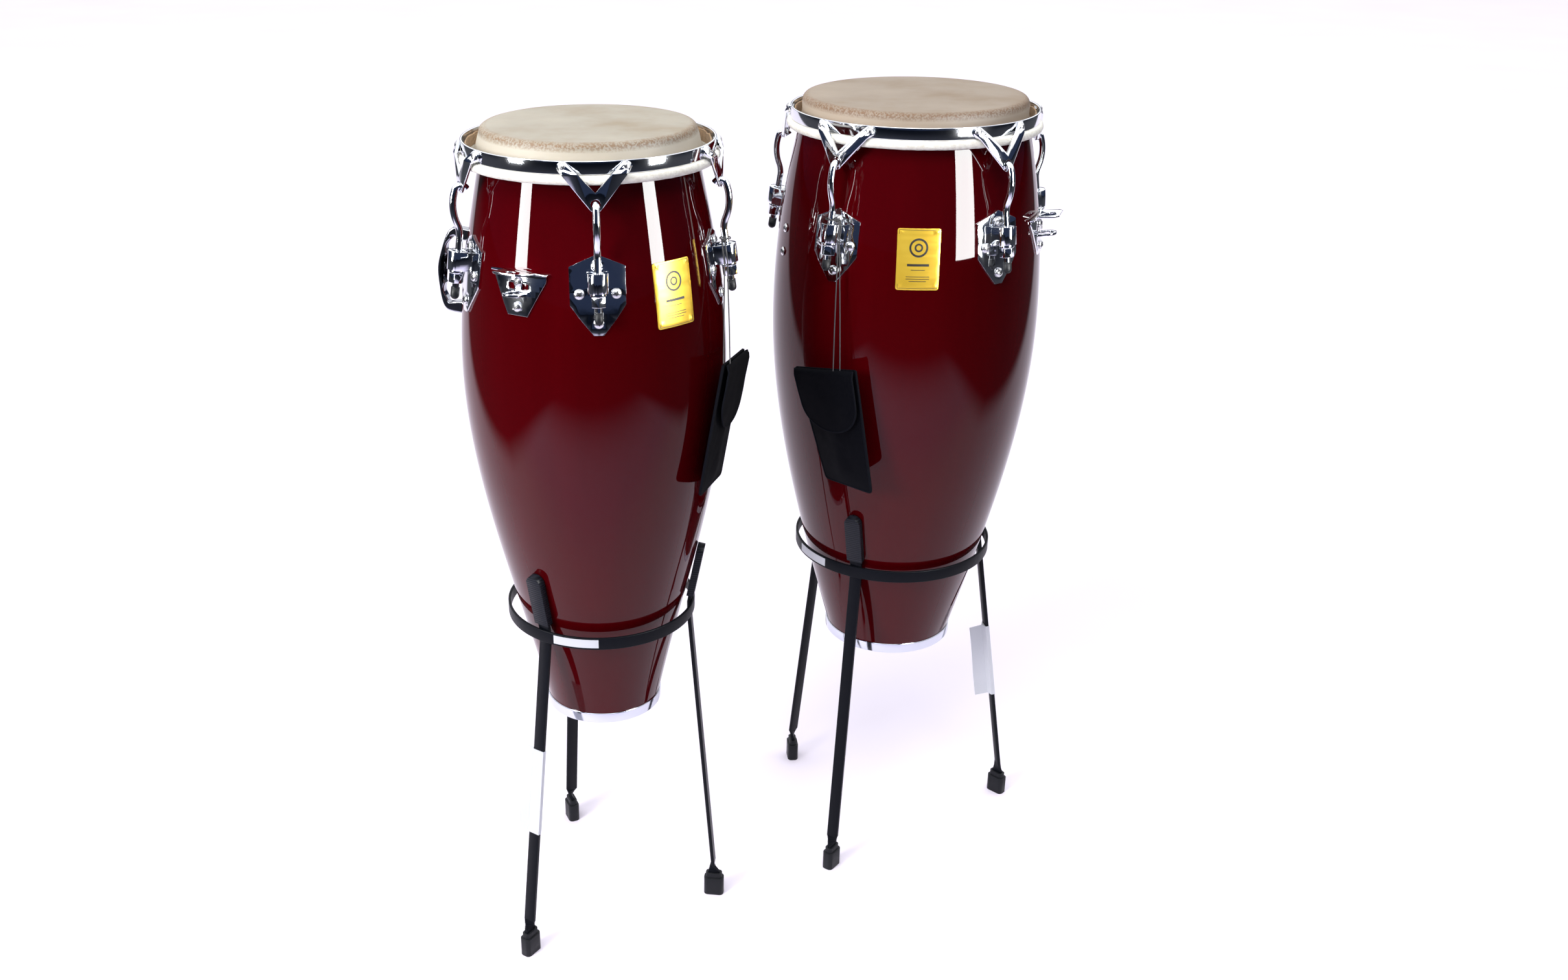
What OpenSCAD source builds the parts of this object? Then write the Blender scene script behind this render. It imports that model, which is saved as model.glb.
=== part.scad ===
// Pair of tall hand drums, each standing in its own three-legged basket stand.
// Millimetres, +Z up, front towards -Y. Every list that starts with "per drum"
// holds the small drum (quinto) first and the large drum (conga) second.

/* [Layout] */
// Distance between the two drum axes, left to right
pair_x = 424; // [400:1:520]
// Distance between the two drum axes, front to back
pair_y = 207; // [0:1:260]
// Height of the shells' lower edges above the floor
base_z = 334; // [300:1:380]

/* [Shell] */
// Height of a shell from its lower edge to its bearing edge
shell_h = 800; // [780:1:820]
// Height of the widest place above the lower edge
belly_z = 500; // [480:1:520]
// Wall thickness
wall_t = 9; // [6:0.5:11]
// Height of the chrome band round the lower edge
band_h = 13; // [10:1:20]

/* [Head and rim] */
// Height of the rim's top edge above the shell's lower edge
rim_top_z = 787; // [784:0.5:789]
// Height of the rim's strip
rim_h = 15.8; // [14:0.1:16]
// Thickness of the rim's strip
rim_t = 3; // [2:0.5:4]
// Thickness of the rawhide
skin_t = 1.8; // [1:0.1:2.5]
// Radius of the rolled hide round the flesh hoop
roll_r = 5.75; // [5:0.25:6]

/* [Lugs] */
// Radius of a tension hook's rod
rod_r = 4.3; // [3.5:0.1:4.5]
// How far a rod's axis stands off the shell at its barrel
rod_standoff = 17; // [16:0.5:20]
// Angle between a rod and the drum's axis, along the shell's slope
rod_tilt = 8.6; // [7:0.1:10]
// Height of a barrel's middle above the shell's lower edge
lug_z = 650; // [640:1:655]
// Clearance round a rod in its barrel and nut, which the collar's travel uses up
rod_gap = 0.75; // [0.7:0.05:1]
// Width of a hex nut across its flats
nut_flats = 16; // [14:0.5:17]
// Length of a hex nut
nut_h = 12; // [10:0.5:14]

/* [Pouch] */
// Width of a tool pouch
pouch_w = 98; // [80:1:110]
// Height of a tool pouch
pouch_h = 172; // [150:1:180]
// Thickness of a tool pouch
pouch_t = 17; // [12:1:20]
// Length of the flap down the pouch's front
flap_h = 88; // [60:1:110]

/* [Stand] */
// Height of the ring's top edge above the shell's lower edge
ring_top_z = 158; // [150:1:165]
// Height of the ring's strip
ring_h = 17; // [14:1:20]
// Thickness of the ring's strip
ring_t = 3.5; // [3:0.5:5]
// Width of a leg's flat bar
leg_w = 17; // [14:1:20]
// Thickness of a leg's flat bar
leg_t = 5; // [4:0.5:6]
// Height of a rubber foot
foot_h = 36; // [30:1:42]

/* [Hidden] */
$fn = 48;
QUINTO = 0;
CONGA = 1;
names = ["quinto", "conga"];

// Per drum: radii of the shell at its lower edge, belly and bearing edge, and the
// slopes with which its outline leaves the two ends
shell_base_r = [76, 89];
shell_belly_r = [170, 185];
shell_top_r = [126.5, 144];
base_slope = [0.2, 0.277];
top_slope = [-0.21, -0.28];

// Per drum: radii of the rim's outside, the head's crown and the head's collar
rim_r = [156, 166.5];
crown_r = [130.5, 148];
collar_r = [141.5, 155.5];

// Per drum: directions round the drum, in degrees from the front towards +X
lug_az = [6, -39];
badge_az = [41, -3];
bracket_az = [-29, 69];
handle_az = [-102, 141];
plug_az = [114, -75];
lug_count = 5;
lug_step = 360 / lug_count;

// Per drum: where the pouch hangs, which lug holds it, and how it is turned
pouch_lug = [1, 0];
pouch_az = [70, -37];
pouch_top_z = [524, 470];
pouch_top_r = [191.5, 205];
pouch_lean = [8.4, 9];
pouch_roll = [-6, 8.5];
pouch_yaw = [4, -12];
knot_side = [-9.6, 9.6];
knot_r = 4;
knot_z = 667.5;
strand_r = 0.8;

// Per drum: the hanging cord's route, from the pouch up, round the rod above its
// barrel, and back down through the knot
cord_route = [
    [[-47.5, -209, 863.5], [-47, -187, 907.5], [-46.5, -165, 952], [-46.5, -154, 974],
     [-48.5, -153.5, 990], [-49.5, -151, 999.5], [-50, -146, 1002], [-52, -139.5, 1002],
     [-49, -133, 1002], [-44, -132, 1002], [-39.5, -135, 1002], [-39.5, -142.5, 1002],
     [-44, -147.5, 1002], [-45.5, -151.5, 999.5], [-44.5, -154.5, 990], [-42.5, -155, 974],
     [-42, -165, 951.5], [-40.5, -185.5, 906.5], [-39.5, -206, 862]],
    [[107.5, -79, 808.5], [106, -69.5, 875], [104, -59.5, 941], [103, -55, 974], [104.5, -53, 990],
     [103.5, -50, 999.5], [101, -46, 1002], [98.5, -39.5, 1002], [92, -36.5, 1002],
     [87.5, -39, 1002], [85.5, -44, 1002], [90.5, -50, 1002], [97, -51, 1002], [101, -53.5, 999.5],
     [102, -56, 990], [100.5, -58, 974], [100.5, -61.5, 940.5], [99.5, -68, 873.5], [99, -75, 806.5]]];

// Per drum: the stand's ring and legs
ring_r = [128.5, 143.5];
leg_az = [[-34.5, 82.5, 202.5], [-28, 100, 224]];
foot_r = [[186, 160, 184], [187, 206, 190]];
foot_twist = [[90, 90, 90], [80, 35, 50]];
leg_top_z = 232;
leg_knee_z = 136;
ankle_z = 54;
foot_pocket_z = 8;
sleeve_w = 23;
sleeve_wall = 2.4;
sleeve_gap = 0.35;

// Shift that brings the pair's bounding box to the middle of the frame
pair_shift_x = -4;
pair_shift_y = -10;
drum_x = [-pair_x / 2 + pair_shift_x, pair_x / 2 + pair_shift_x];
drum_y = [-pair_y / 2 + pair_shift_y, pair_y / 2 + pair_shift_y];

bolt_r = 2.9;
bolt_gap = 0.2;
bolt_head_r = 6;
bolt_head_h = 3.4;
plate_t = 2.5;
plate_gap = 0.12;
outline_step = 20;
rest_gap = 0.3;

// Smooth cubic from a to b over a span, leaving with slopes ma and mb
function blend_curve(a, ma, b, mb, span, t) =
    (2 * t ^ 3 - 3 * t ^ 2 + 1) * a + (t ^ 3 - 2 * t ^ 2 + t) * span * ma
    + (-2 * t ^ 3 + 3 * t ^ 2) * b + (t ^ 3 - t ^ 2) * span * mb;

// Outer radius of a shell at height z
function shell_r(i, z) = z < belly_z
    ? blend_curve(shell_base_r[i], base_slope[i], shell_belly_r[i], 0, belly_z, z / belly_z)
    : blend_curve(shell_belly_r[i], 0, shell_top_r[i], top_slope[i], shell_h - belly_z,
                  (z - belly_z) / (shell_h - belly_z));

// Lean of a shell's wall at height z, in degrees, positive where it narrows upwards
function wall_lean(i, z) = atan((shell_r(i, z - 5) - shell_r(i, z + 5)) / 10);

// Points of a shell's outline moved outwards by d, from height z0 to z1
function outline(i, d, z0, z1) =
    [for (z = [z0 : outline_step : z1 + 0.01]) [shell_r(i, z) + d, z]];
function reversed(list) = [for (k = [len(list) - 1 : -1 : 0]) list[k]];

// Points along an arc about a centre
function arc(cx, cy, r, a0, a1, n) = [for (k = [0 : n]) let (a = a0 + (a1 - a0) * k / n)
    [cx + r * cos(a), cy + r * sin(a)]];

function barrel_r(i) = shell_r(i, lug_z) + rod_standoff;

module at_drum(i) translate([drum_x[i], drum_y[i], base_z]) children();
module at_stand(i) translate([drum_x[i], drum_y[i], 0]) children();

// Local +X points outwards at this direction round the drum
module facing(az) rotate([0, 0, az - 90]) children();

// Origin on the shell's outside, local +X along the wall's outward normal
module on_shell(i, az, z, side = 0)
    facing(az + asin(side / shell_r(i, z)))
        translate([shell_r(i, z), 0, z])
            rotate([0, -wall_lean(i, z), 0]) children();

// Origin at a barrel's middle, local +Z up along the rod
module at_barrel(i, k)
    facing(lug_az[i] + k * lug_step)
        translate([barrel_r(i), 0, lug_z])
            rotate([0, -rod_tilt, 0]) children();

// A curved sheet that lies on the shell, between two offsets from its outside
module shell_layer(i, d0, d1, z0, z1)
    rotate_extrude($fn = 96)
        polygon(concat(outline(i, d0, z0, z1), reversed(outline(i, d1, z0, z1))));

module rounded_plate(w, h, r) {
    square([w - 2 * r, h], center = true);
    square([w, h - 2 * r], center = true);
    for (x = [-1, 1], y = [-1, 1]) translate([x * (w / 2 - r), y * (h / 2 - r)]) circle(r);
}

// An outline in the wall's plane, pushed through it: local x is sideways, y is up
module through_wall(i, az, z, depth = 30)
    on_shell(i, az, z) rotate([90, 0, 90]) translate([0, 0, -depth / 2])
        linear_extrude(depth) children();

// Places of all bolts through a shell: [direction, height, sideways offset, plate thickness]
plate_bolts = [[15, 0], [-17, -21.5], [-17, 21.5], [-51, 0]];
bracket_bolts = [[-9, 0], [-38, 0]];
handle_bolts = [[48, 0], [-48, 0]];
handle_foot = 7.2;
plug_bolts = [[16, 0], [-16, 0]];
bracket_z = 651;
handle_z = 606;
plug_z = 615;
function bolt_places(i) = concat(
    [for (k = [0 : lug_count - 1], b = plate_bolts)
        [lug_az[i] + k * lug_step, lug_z + b[0], b[1], plate_gap + plate_t]],
    [for (b = bracket_bolts) [bracket_az[i], bracket_z + b[0], b[1], plate_gap + plate_t]],
    [for (b = handle_bolts) [handle_az[i], handle_z + b[0], b[1], handle_foot]],
    [for (b = plug_bolts) [plug_az[i], plug_z + b[0], b[1], 0]]);

module bolt_bores(i, from, to) for (b = bolt_places(i))
    on_shell(i, b[0], b[1], b[2]) rotate([0, 90, 0]) translate([0, 0, from])
        cylinder(r = bolt_r + bolt_gap, h = to - from, $fn = 24);

// Staved wooden shell, open at both ends, with a rounded bearing edge
module shell(i) at_drum(i) color([0.33, 0.04, 0.06]) difference() {
    rotate_extrude($fn = 96) {
        edge_r = 4;
        top = shell_top_r[i];
        outer = outline(i, 0, 0, shell_h - outline_step);
        inner = outline(i, -wall_t, 0, shell_h - outline_step);
        polygon(concat(outer, arc(top - edge_r, shell_h - edge_r, edge_r, 0, 90, 5),
                       [[top - wall_t, shell_h]], reversed(inner)));
    }
    bolt_bores(i, -wall_t - 6, 8);
}

// Chrome band that wraps the lower edge of the shell
module base_band(i) at_drum(i) color("gainsboro") rotate_extrude($fn = 96) {
    out_r = shell_r(i, band_h) + 1.3;
    foot = shell_base_r[i];
    polygon([[foot - 6, -1.5], [out_r, -1.5], [out_r, band_h], [shell_r(i, band_h) + 0.1, band_h],
             [foot + 0.1, -0.05], [foot - 6, -0.05]]);
}

// Rawhide head: crown, collar, roll round the flesh hoop and the cut edge inside the rim
module head(i) at_drum(i) color([0.87, 0.83, 0.74]) rotate_extrude($fn = 96) {
    c = crown_r[i];
    k = collar_r[i];
    top = shell_h + rest_gap + skin_t;
    edge = 7;
    hoop = rim_r[i] - 1;
    hoop_z = rim_top_z - rim_h - roll_r - 0.2;
    polygon(concat(
        [[0, top]], reversed(arc(c - edge, top - edge, edge, 0, 90, 6)),
        [[c + (k - c) * 0.4, top - 15], [k, top - 27], [k + 2.5, hoop_z + 2], [hoop - roll_r + 1, hoop_z - 2],
         [hoop - roll_r + 1, hoop_z - 4], [k + 1.2, hoop_z - 0.5], [k - skin_t, top - 27],
         [c + (k - c) * 0.4 - skin_t, top - 15]],
        arc(c - edge, top - edge, edge - skin_t, 0, 90, 6), [[0, top - skin_t]]));
    difference() {
        translate([hoop, hoop_z]) circle(roll_r, $fn = 32);
        translate([hoop, hoop_z]) circle(roll_r - 1.5, $fn = 32);
        translate([hoop - 2.4, hoop_z + 2]) square([0.6, roll_r]);
    }
    polygon([[hoop - 5.2, hoop_z + 2.4], [hoop - 3.4, hoop_z + 3.8], [rim_r[i] - 5.4, rim_top_z - 6],
             [rim_r[i] - 7, rim_top_z - 6.6]]);
}

// Steel hoop that the hide is rolled round
module flesh_hoop(i) at_drum(i) color("slategray") rotate_extrude($fn = 96)
    translate([rim_r[i] - 1, rim_top_z - rim_h - roll_r - 0.2]) circle(roll_r - 1.6, $fn = 32);

rivet_side = 35.5;
rivet_z = rim_top_z - 7;
rivet_r = 2.4;
module at_rivets(i) for (k = [0 : lug_count - 1], s = [-1, 1])
    facing(lug_az[i] + k * lug_step + s * asin(rivet_side / rim_r[i]))
        translate([rim_r[i], 0, rivet_z]) rotate([0, 90, 0]) children();

// Chrome strip that presses the head down
module rim(i) at_drum(i) color("gainsboro") difference() {
    rotate_extrude($fn = 96) translate([rim_r[i] - rim_t, rim_top_z - rim_h]) square([rim_t, rim_h]);
    at_rivets(i) translate([0, 0, -rim_t - 1]) cylinder(r = rivet_r + 0.1, h = rim_t + 2, $fn = 24);
}

claw_t = 3;
hook_turn = [29.5, 57.4, 8];
hook_lean = [-rod_tilt, 22, -20, -150];
rod_top = 28;
// Start of the hook's curve, as [radius, height]
function hook_start(i) = [barrel_r(i) - rod_top * sin(rod_tilt), lug_z + rod_top * cos(rod_tilt)];
function way_out(a) = [cos(a), -sin(a)];
function hook_c1(i) = hook_start(i) + hook_turn[0] * way_out(hook_lean[0]);
function hook_c2(i) = hook_c1(i) - (hook_turn[0] + hook_turn[1]) * way_out(hook_lean[1]);
function hook_c3(i) = hook_c2(i) + (hook_turn[1] - hook_turn[2]) * way_out(hook_lean[2]);
function eye_z(i) = hook_c3(i)[1] + hook_turn[2];
function eye_r(i) = hook_c3(i)[0] - claw_t / 2;

// V-shaped claws, riveted to the rim, with an eye for the hook at the point
module claw_half(i, s) {
    over_roll = rim_r[i] + roll_r - 1 + 1;
    bend_z = rim_top_z - rim_h + 0.6;
    hull() {
        facing(s * asin(rivet_side / rim_r[i])) translate([rim_r[i] + 0.2, 0, rivet_z])
            rotate([0, 90, 0]) cylinder(r = 7, h = claw_t, $fn = 28);
        facing(s * asin(27 / rim_r[i])) translate([over_roll, -8.5, bend_z]) cube([claw_t, 17, 2]);
    }
    hull() {
        facing(s * asin(27 / rim_r[i])) translate([over_roll, -8.5, bend_z]) cube([claw_t, 17, 2]);
        facing(0) translate([eye_r(i), 0, eye_z(i)]) rotate([0, 90, 0])
            cylinder(r = 9, h = claw_t, $fn = 28);
    }
}
module rim_claws(i) at_drum(i) color("silver") for (k = [0 : lug_count - 1])
    rotate([0, 0, lug_az[i] + k * lug_step]) difference() {
        union() for (s = [-1, 1]) claw_half(i, s);
        facing(0) translate([eye_r(i) - 8, 0, eye_z(i)]) rotate([0, 90, 0])
            cylinder(r = rod_r + 1.3, h = 16, $fn = 32);
        for (s = [-1, 1]) facing(s * asin(rivet_side / rim_r[i]))
            translate([rim_r[i] - 1, 0, rivet_z]) rotate([0, 90, 0])
                cylinder(r = rivet_r + 0.1, h = 8, $fn = 24);
    }

module claw_rivets(i) at_drum(i) color("lightgray") at_rivets(i) {
    translate([0, 0, -rim_t - 1.2]) cylinder(r = 4, h = 1.1, $fn = 24);
    translate([0, 0, -rim_t - 0.5]) cylinder(r = rivet_r, h = rim_t + 0.2 + claw_t + 1, $fn = 24);
    translate([0, 0, claw_t + 0.3]) intersection() {
        translate([0, 0, -3.5]) sphere(7, $fn = 32);
        cylinder(r = 5.8, h = 5, $fn = 32);
    }
}

// Smooth curve through a route's points
function route_point(p, k, t) = let (
        a = p[max(k - 1, 0)], b = p[k], c = p[k + 1], d = p[min(k + 2, len(p) - 1)])
    0.5 * (2 * b + (c - a) * t + (2 * a - 5 * b + 4 * c - d) * t ^ 2 + (3 * b - a - 3 * c + d) * t ^ 3);
function smooth_route(p, steps) = concat(
    [for (k = [0 : len(p) - 2], j = [0 : steps - 1]) route_point(p, k, j / steps)], [p[len(p) - 1]]);
function unit(v) = v / norm(v);

// Across-vectors for each point of a path, carried along it without twist
function tangent(p, k) = unit(p[min(k + 1, len(p) - 1)] - p[max(k - 1, 0)]);
function carried(p, u, k = 0) = k >= len(p) ? [] :
    let (t = tangent(p, k), v = unit(u - (u * t) * t)) concat([v], carried(p, v, k + 1));

// Round tube along a path, with its first ring's seam towards start
module tube_along(path, r, start, sides = 8) {
    last = len(path) - 1;
    across = carried(path, start);
    rings = [for (k = [0 : last], j = [0 : sides - 1]) let (a = 360 * j / sides)
        path[k] + r * (cos(a) * across[k] + sin(a) * cross(tangent(path, k), across[k]))];
    walls = [for (k = [0 : last - 1], j = [0 : sides - 1]) let (m = (j + 1) % sides)
        [k * sides + j, (k + 1) * sides + j, (k + 1) * sides + m, k * sides + m]];
    polyhedron(rings, concat(walls, [[for (j = [0 : sides - 1]) j]],
                             [[for (j = [sides - 1 : -1 : 0]) last * sides + j]]), convexity = 4);
}

// Tension hooks: a straight rod below, an outward bow, and a hook through the claw's eye
rod_end = -37;
bend_step = 9;
rod_sides = 16;
function bend(c, r, a0, a1) = let (n = ceil(abs(a1 - a0) / bend_step))
    [for (k = [1 : n]) let (a = a0 + (a1 - a0) * k / n) [c[0] + r * cos(a), 0, c[1] + r * sin(a)]];
function hook_path(i) = let (low = rod_end, r0 = barrel_r(i)) concat(
    [[r0 - low * sin(rod_tilt), 0, lug_z + low * cos(rod_tilt)],
     [hook_start(i)[0], 0, hook_start(i)[1]]],
    bend(hook_c1(i), hook_turn[0], 180 - hook_lean[0], 180 - hook_lean[1]),
    bend(hook_c2(i), hook_turn[1], -hook_lean[1], -hook_lean[2]),
    bend(hook_c3(i), hook_turn[2], -hook_lean[2], -hook_lean[3]));
module tension_hooks(i) at_drum(i) color("silver") for (k = [0 : lug_count - 1])
    facing(lug_az[i] + k * lug_step) tube_along(hook_path(i), rod_r, [0, 1, 0], rod_sides);

// Rubber tips on the rods' lower ends
tip_r = 5.4;
tip_len = 15;
module hook_tips(i) at_drum(i) color([0.06, 0.06, 0.06]) for (k = [0 : lug_count - 1])
    at_barrel(i, k) translate([0, 0, rod_end - 12]) difference() {
        union() {
            translate([0, 0, tip_r]) sphere(tip_r, $fn = 32);
            translate([0, 0, tip_r]) cylinder(r = tip_r, h = tip_len - tip_r, $fn = 32);
        }
        translate([0, 0, 12 - 0.05]) cylinder(r = rod_r + 0.05, h = tip_len, $fn = 24);
    }

barrel_h = 23;
strap_r = 12.3;
strap_t = 3;
// Side plates: a curved shield, a strap and the barrel that a rod passes through
module shield() polygon([[0, 29], [33, 15], [33, -30], [22, -46], [6, -66], [-6, -66], [-22, -46], [-33, -30],
                         [-33, 15]]);
module side_plates(i) at_drum(i) color("silver") for (k = [0 : lug_count - 1]) {
    az = lug_az[i] + k * lug_step;
    inboard = rod_standoff - plate_t + 0.6;
    difference() {
        intersection() {
            shell_layer(i, plate_gap, plate_gap + plate_t, 560, 700);
            through_wall(i, az, lug_z) shield();
        }
        for (b = plate_bolts) on_shell(i, az, lug_z + b[0], b[1]) rotate([0, 90, 0]) translate([0, 0, -5])
            cylinder(r = bolt_r + bolt_gap, h = 12, $fn = 24);
    }
    at_barrel(i, k) translate([0, 0, -barrel_h / 2]) difference() {
        linear_extrude(barrel_h) difference() {
            union() {
                circle(strap_r);
                translate([-inboard, -strap_r]) square([inboard, 2 * strap_r]);
            }
            translate([-inboard - 1, -strap_r + strap_t]) square([inboard - 8, 2 * (strap_r - strap_t)]);
            circle(rod_r + rod_gap, $fn = 32);
        }
    }
}

// All bolts through the shell, with domed heads outside
module shell_bolts(i) at_drum(i) color("lightgray") for (b = bolt_places(i))
    on_shell(i, b[0], b[1], b[2]) rotate([0, 90, 0]) {
        translate([0, 0, -wall_t - 4.5]) cylinder(r = bolt_r, h = wall_t + 4.5 + b[3] + 0.6, $fn = 24);
        translate([0, 0, b[3] + 0.45]) intersection() {
            cylinder(r = bolt_head_r, h = bolt_head_h, $fn = 32);
            translate([0, 0, bolt_head_h - 9]) sphere(9, $fn = 48);
        }
    }

// Steel plates inside the shell that the bolts thread into
module backing_plates(i) at_drum(i) color("dimgray") difference() {
    for (k = [0 : lug_count - 1]) intersection() {
        shell_layer(i, -wall_t - plate_t, -wall_t - 0.3, 560, 700);
        through_wall(i, lug_az[i] + k * lug_step, lug_z - 18, 60) rounded_plate(56, 84, 6);
    }
    for (k = [0 : lug_count - 1], b = plate_bolts)
        on_shell(i, lug_az[i] + k * lug_step, lug_z + b[0], b[1]) rotate([0, 90, 0])
            translate([0, 0, -wall_t - 8]) cylinder(r = bolt_r + bolt_gap, h = 12, $fn = 24);
}

// Washers between the barrels and the nuts
washer_h = 4;
module lug_washers(i) at_drum(i) color("gainsboro") for (k = [0 : lug_count - 1])
    at_barrel(i, k) translate([0, 0, -barrel_h / 2 - washer_h - 0.05]) difference() {
        cylinder(r = 9.4, h = washer_h);
        translate([0, 0, -1]) cylinder(r = rod_r + rod_gap, h = washer_h + 2, $fn = 32);
    }

// Hex tuning nut number k
module lug_nut(i, k) at_drum(i) color("silver")
    at_barrel(i, k) translate([0, 0, -barrel_h / 2 - washer_h - nut_h - 0.4]) difference() {
        cylinder(r = nut_flats / sqrt(3), h = nut_h, $fn = 6);
        translate([0, 0, -1]) cylinder(r = rod_r + rod_gap, h = nut_h + 2, $fn = 32);
    }

// Bracket that hangs the drum on a double stand: curved plate, shelf with a hole, lower loop
shelf_d = 32;
shelf_hole_r = 6;
shelf_hole_out = 19;
module mount_bracket(i) at_drum(i) color("silver") {
    difference() {
        intersection() {
            shell_layer(i, plate_gap, plate_gap + plate_t, 560, 700);
            through_wall(i, bracket_az[i], bracket_z) difference() {
                polygon([[-36, 2], [36, 2], [36, -6], [14, -49], [-14, -49], [-36, -6]]);
                for (x = [-1, 1]) translate([x * 9.6 - 4, -18.5]) square(8);
            }
        }
        for (b = bracket_bolts) on_shell(i, bracket_az[i], bracket_z + b[0], b[1])
            rotate([0, 90, 0]) translate([0, 0, -5]) cylinder(r = bolt_r + bolt_gap, h = 12, $fn = 24);
    }
    on_shell(i, bracket_az[i], bracket_z) {
        translate([0, 0, 1]) linear_extrude(plate_t) difference() {
            polygon([[0.6, -22], [shelf_d - 5, -20], [shelf_d, -15],
                     [shelf_d, 15], [shelf_d - 5, 20], [0.6, 22]]);
            translate([shelf_hole_out, 0]) circle(shelf_hole_r, $fn = 32);
        }
        for (s = [-1, 1]) translate([-2.6, s * 22, 1]) linear_extrude(plate_t)
            polygon([[3.2, -2.1 * s], [5.2, -2.1 * s], [6, 17 * s], [-0.4, 17 * s]]);
        translate([0, 0, -25]) linear_extrude(3) difference() {
            union() {
                translate([1, -12.5]) square([9 + plate_t, 25]);
                translate([10 + plate_t, 0]) circle(12.5);
            }
            translate([plate_t - 3, -8.5]) square([13, 17]);
            translate([10 + plate_t, 0]) circle(8.5);
        }
    }
}

// Carrying handle with scallops for four fingers
module carry_handle(i) at_drum(i) color([0.35, 0.35, 0.37]) difference() {
    on_shell(i, handle_az[i], handle_z) rotate([90, 0, 0]) translate([0, 0, -7]) linear_extrude(14) difference() {
        union() {
            translate([12, 32]) circle(24);
            translate([12, -32]) circle(24);
            translate([12, -32]) square([31, 64]);
            translate([0.6, -56]) square([12, 112]);
            translate([12, -32]) square([24, 64]);
        }
        translate([-30, -80]) square([30.6, 160]);
        translate([7, -40]) square([18, 80]);
        translate([25, 0]) for (z = [-30, -10, 10, 30]) translate([0, z]) circle(10.4, $fn = 40);
        translate([8, -26]) square([17, 52]);
    }
    for (b = handle_bolts) on_shell(i, handle_az[i], handle_z + b[0], b[1]) rotate([0, 90, 0]) {
        translate([0, 0, -4]) cylinder(r = bolt_r + bolt_gap, h = 20, $fn = 24);
        translate([0, 0, handle_foot]) cylinder(r = bolt_head_r + 0.5, h = 16, $fn = 32);
    }
}

// Name plate with a plain face and four pins
badge_w = 55;
badge_h = 79;
badge_z = 623;
module badge(i) at_drum(i) color([0.62, 0.5, 0.28]) {
    intersection() {
        shell_layer(i, plate_gap, plate_gap + 1.2, 560, 680);
        through_wall(i, badge_az[i], badge_z) rounded_plate(badge_w, badge_h, 3);
    }
    for (x = [-1, 1], y = [-1, 1])
        on_shell(i, badge_az[i], badge_z + y * (badge_h / 2 - 5), x * (badge_w / 2 - 5))
            rotate([0, 90, 0]) translate([0, 0, 0.6]) cylinder(r = 1.6, h = 1.5, $fn = 24);
}

// Origin at the middle of a pouch's top edge, local +X outwards through its thickness
module at_pouch(i) at_drum(i) facing(pouch_az[i])
    translate([pouch_top_r[i], 0, pouch_top_z[i]]) rotate([pouch_roll[i], 0, pouch_yaw[i]])
        rotate([0, pouch_lean[i], 0]) children();

// Soft tool pouch, a closed solid
flap_t = 2.4;
module pouch(i) at_pouch(i) color([0.07, 0.07, 0.09]) rotate([0, 90, 0])
    translate([pouch_h / 2, 0, -pouch_t / 2]) linear_extrude(pouch_t - flap_t - rest_gap)
        rounded_plate(pouch_h, pouch_w, 5);

// Flap, hinged along the pouch's top edge
module pouch_flap(i) at_pouch(i) color([0.05, 0.05, 0.06])
    rotate([0, 90, 0]) translate([0, 0, pouch_t / 2 - flap_t]) linear_extrude(flap_t) difference() {
        union() {
            translate([0, -pouch_w / 2 + 2]) square([flap_h - 30, pouch_w - 4]);
            translate([flap_h - 30, 0]) intersection() {
                translate([-60, 0]) circle(90, $fn = 96);
                translate([-1, -pouch_w / 2 + 2]) square([40, pouch_w - 4]);
            }
        }
    }

// Knot that ties the hanging cord beside a rod, on top of the barrel
module cord_knot(i) at_drum(i) color([0.05, 0.05, 0.05])
    facing(lug_az[i] + pouch_lug[i] * lug_step)
        translate([barrel_r(i) - (knot_z - lug_z) * tan(rod_tilt), knot_side[i], knot_z])
            sphere(knot_r, $fn = 32);

// Thin cord: two strands from the pouch's top edge, joined round the rod
route_steps = 4;
module pouch_cord(i) color([0.05, 0.05, 0.05]) translate([pair_shift_x, pair_shift_y, 0])
    tube_along(smooth_route(cord_route[i], route_steps), strand_r, [1, 0.3, 0]);

// Ring of the basket stand
module stand_ring(i) at_stand(i) color([0.06, 0.06, 0.07]) rotate_extrude($fn = 96)
    translate([ring_r[i] - ring_t, base_z + ring_top_z - ring_h]) square([ring_t, ring_h]);

// Middle of a leg's bar, as [radius, height]: top, knee at the ring, ankle
function leg_top(i) = [shell_r(i, leg_top_z) + sleeve_gap + sleeve_wall + leg_t / 2 + 0.6,
                       base_z + leg_top_z];
function leg_knee(i) = [ring_r[i] - ring_t - leg_t / 2 - 0.05, base_z + ring_top_z];
function leg_bend(i) = [ring_r[i] - ring_t - leg_t / 2 - 0.05, base_z + leg_knee_z];
function leg_ankle(i, k) = [foot_r[i][k] - 3, ankle_z];

module leg_side(i, k, grow) {
    path = [leg_ankle(i, k), leg_bend(i), leg_knee(i), leg_top(i)];
    t = leg_t / 2 + grow;
    polygon(concat([for (p = path) p - [t, 0]], reversed([for (p = path) p + [t, 0]])));
}

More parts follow.
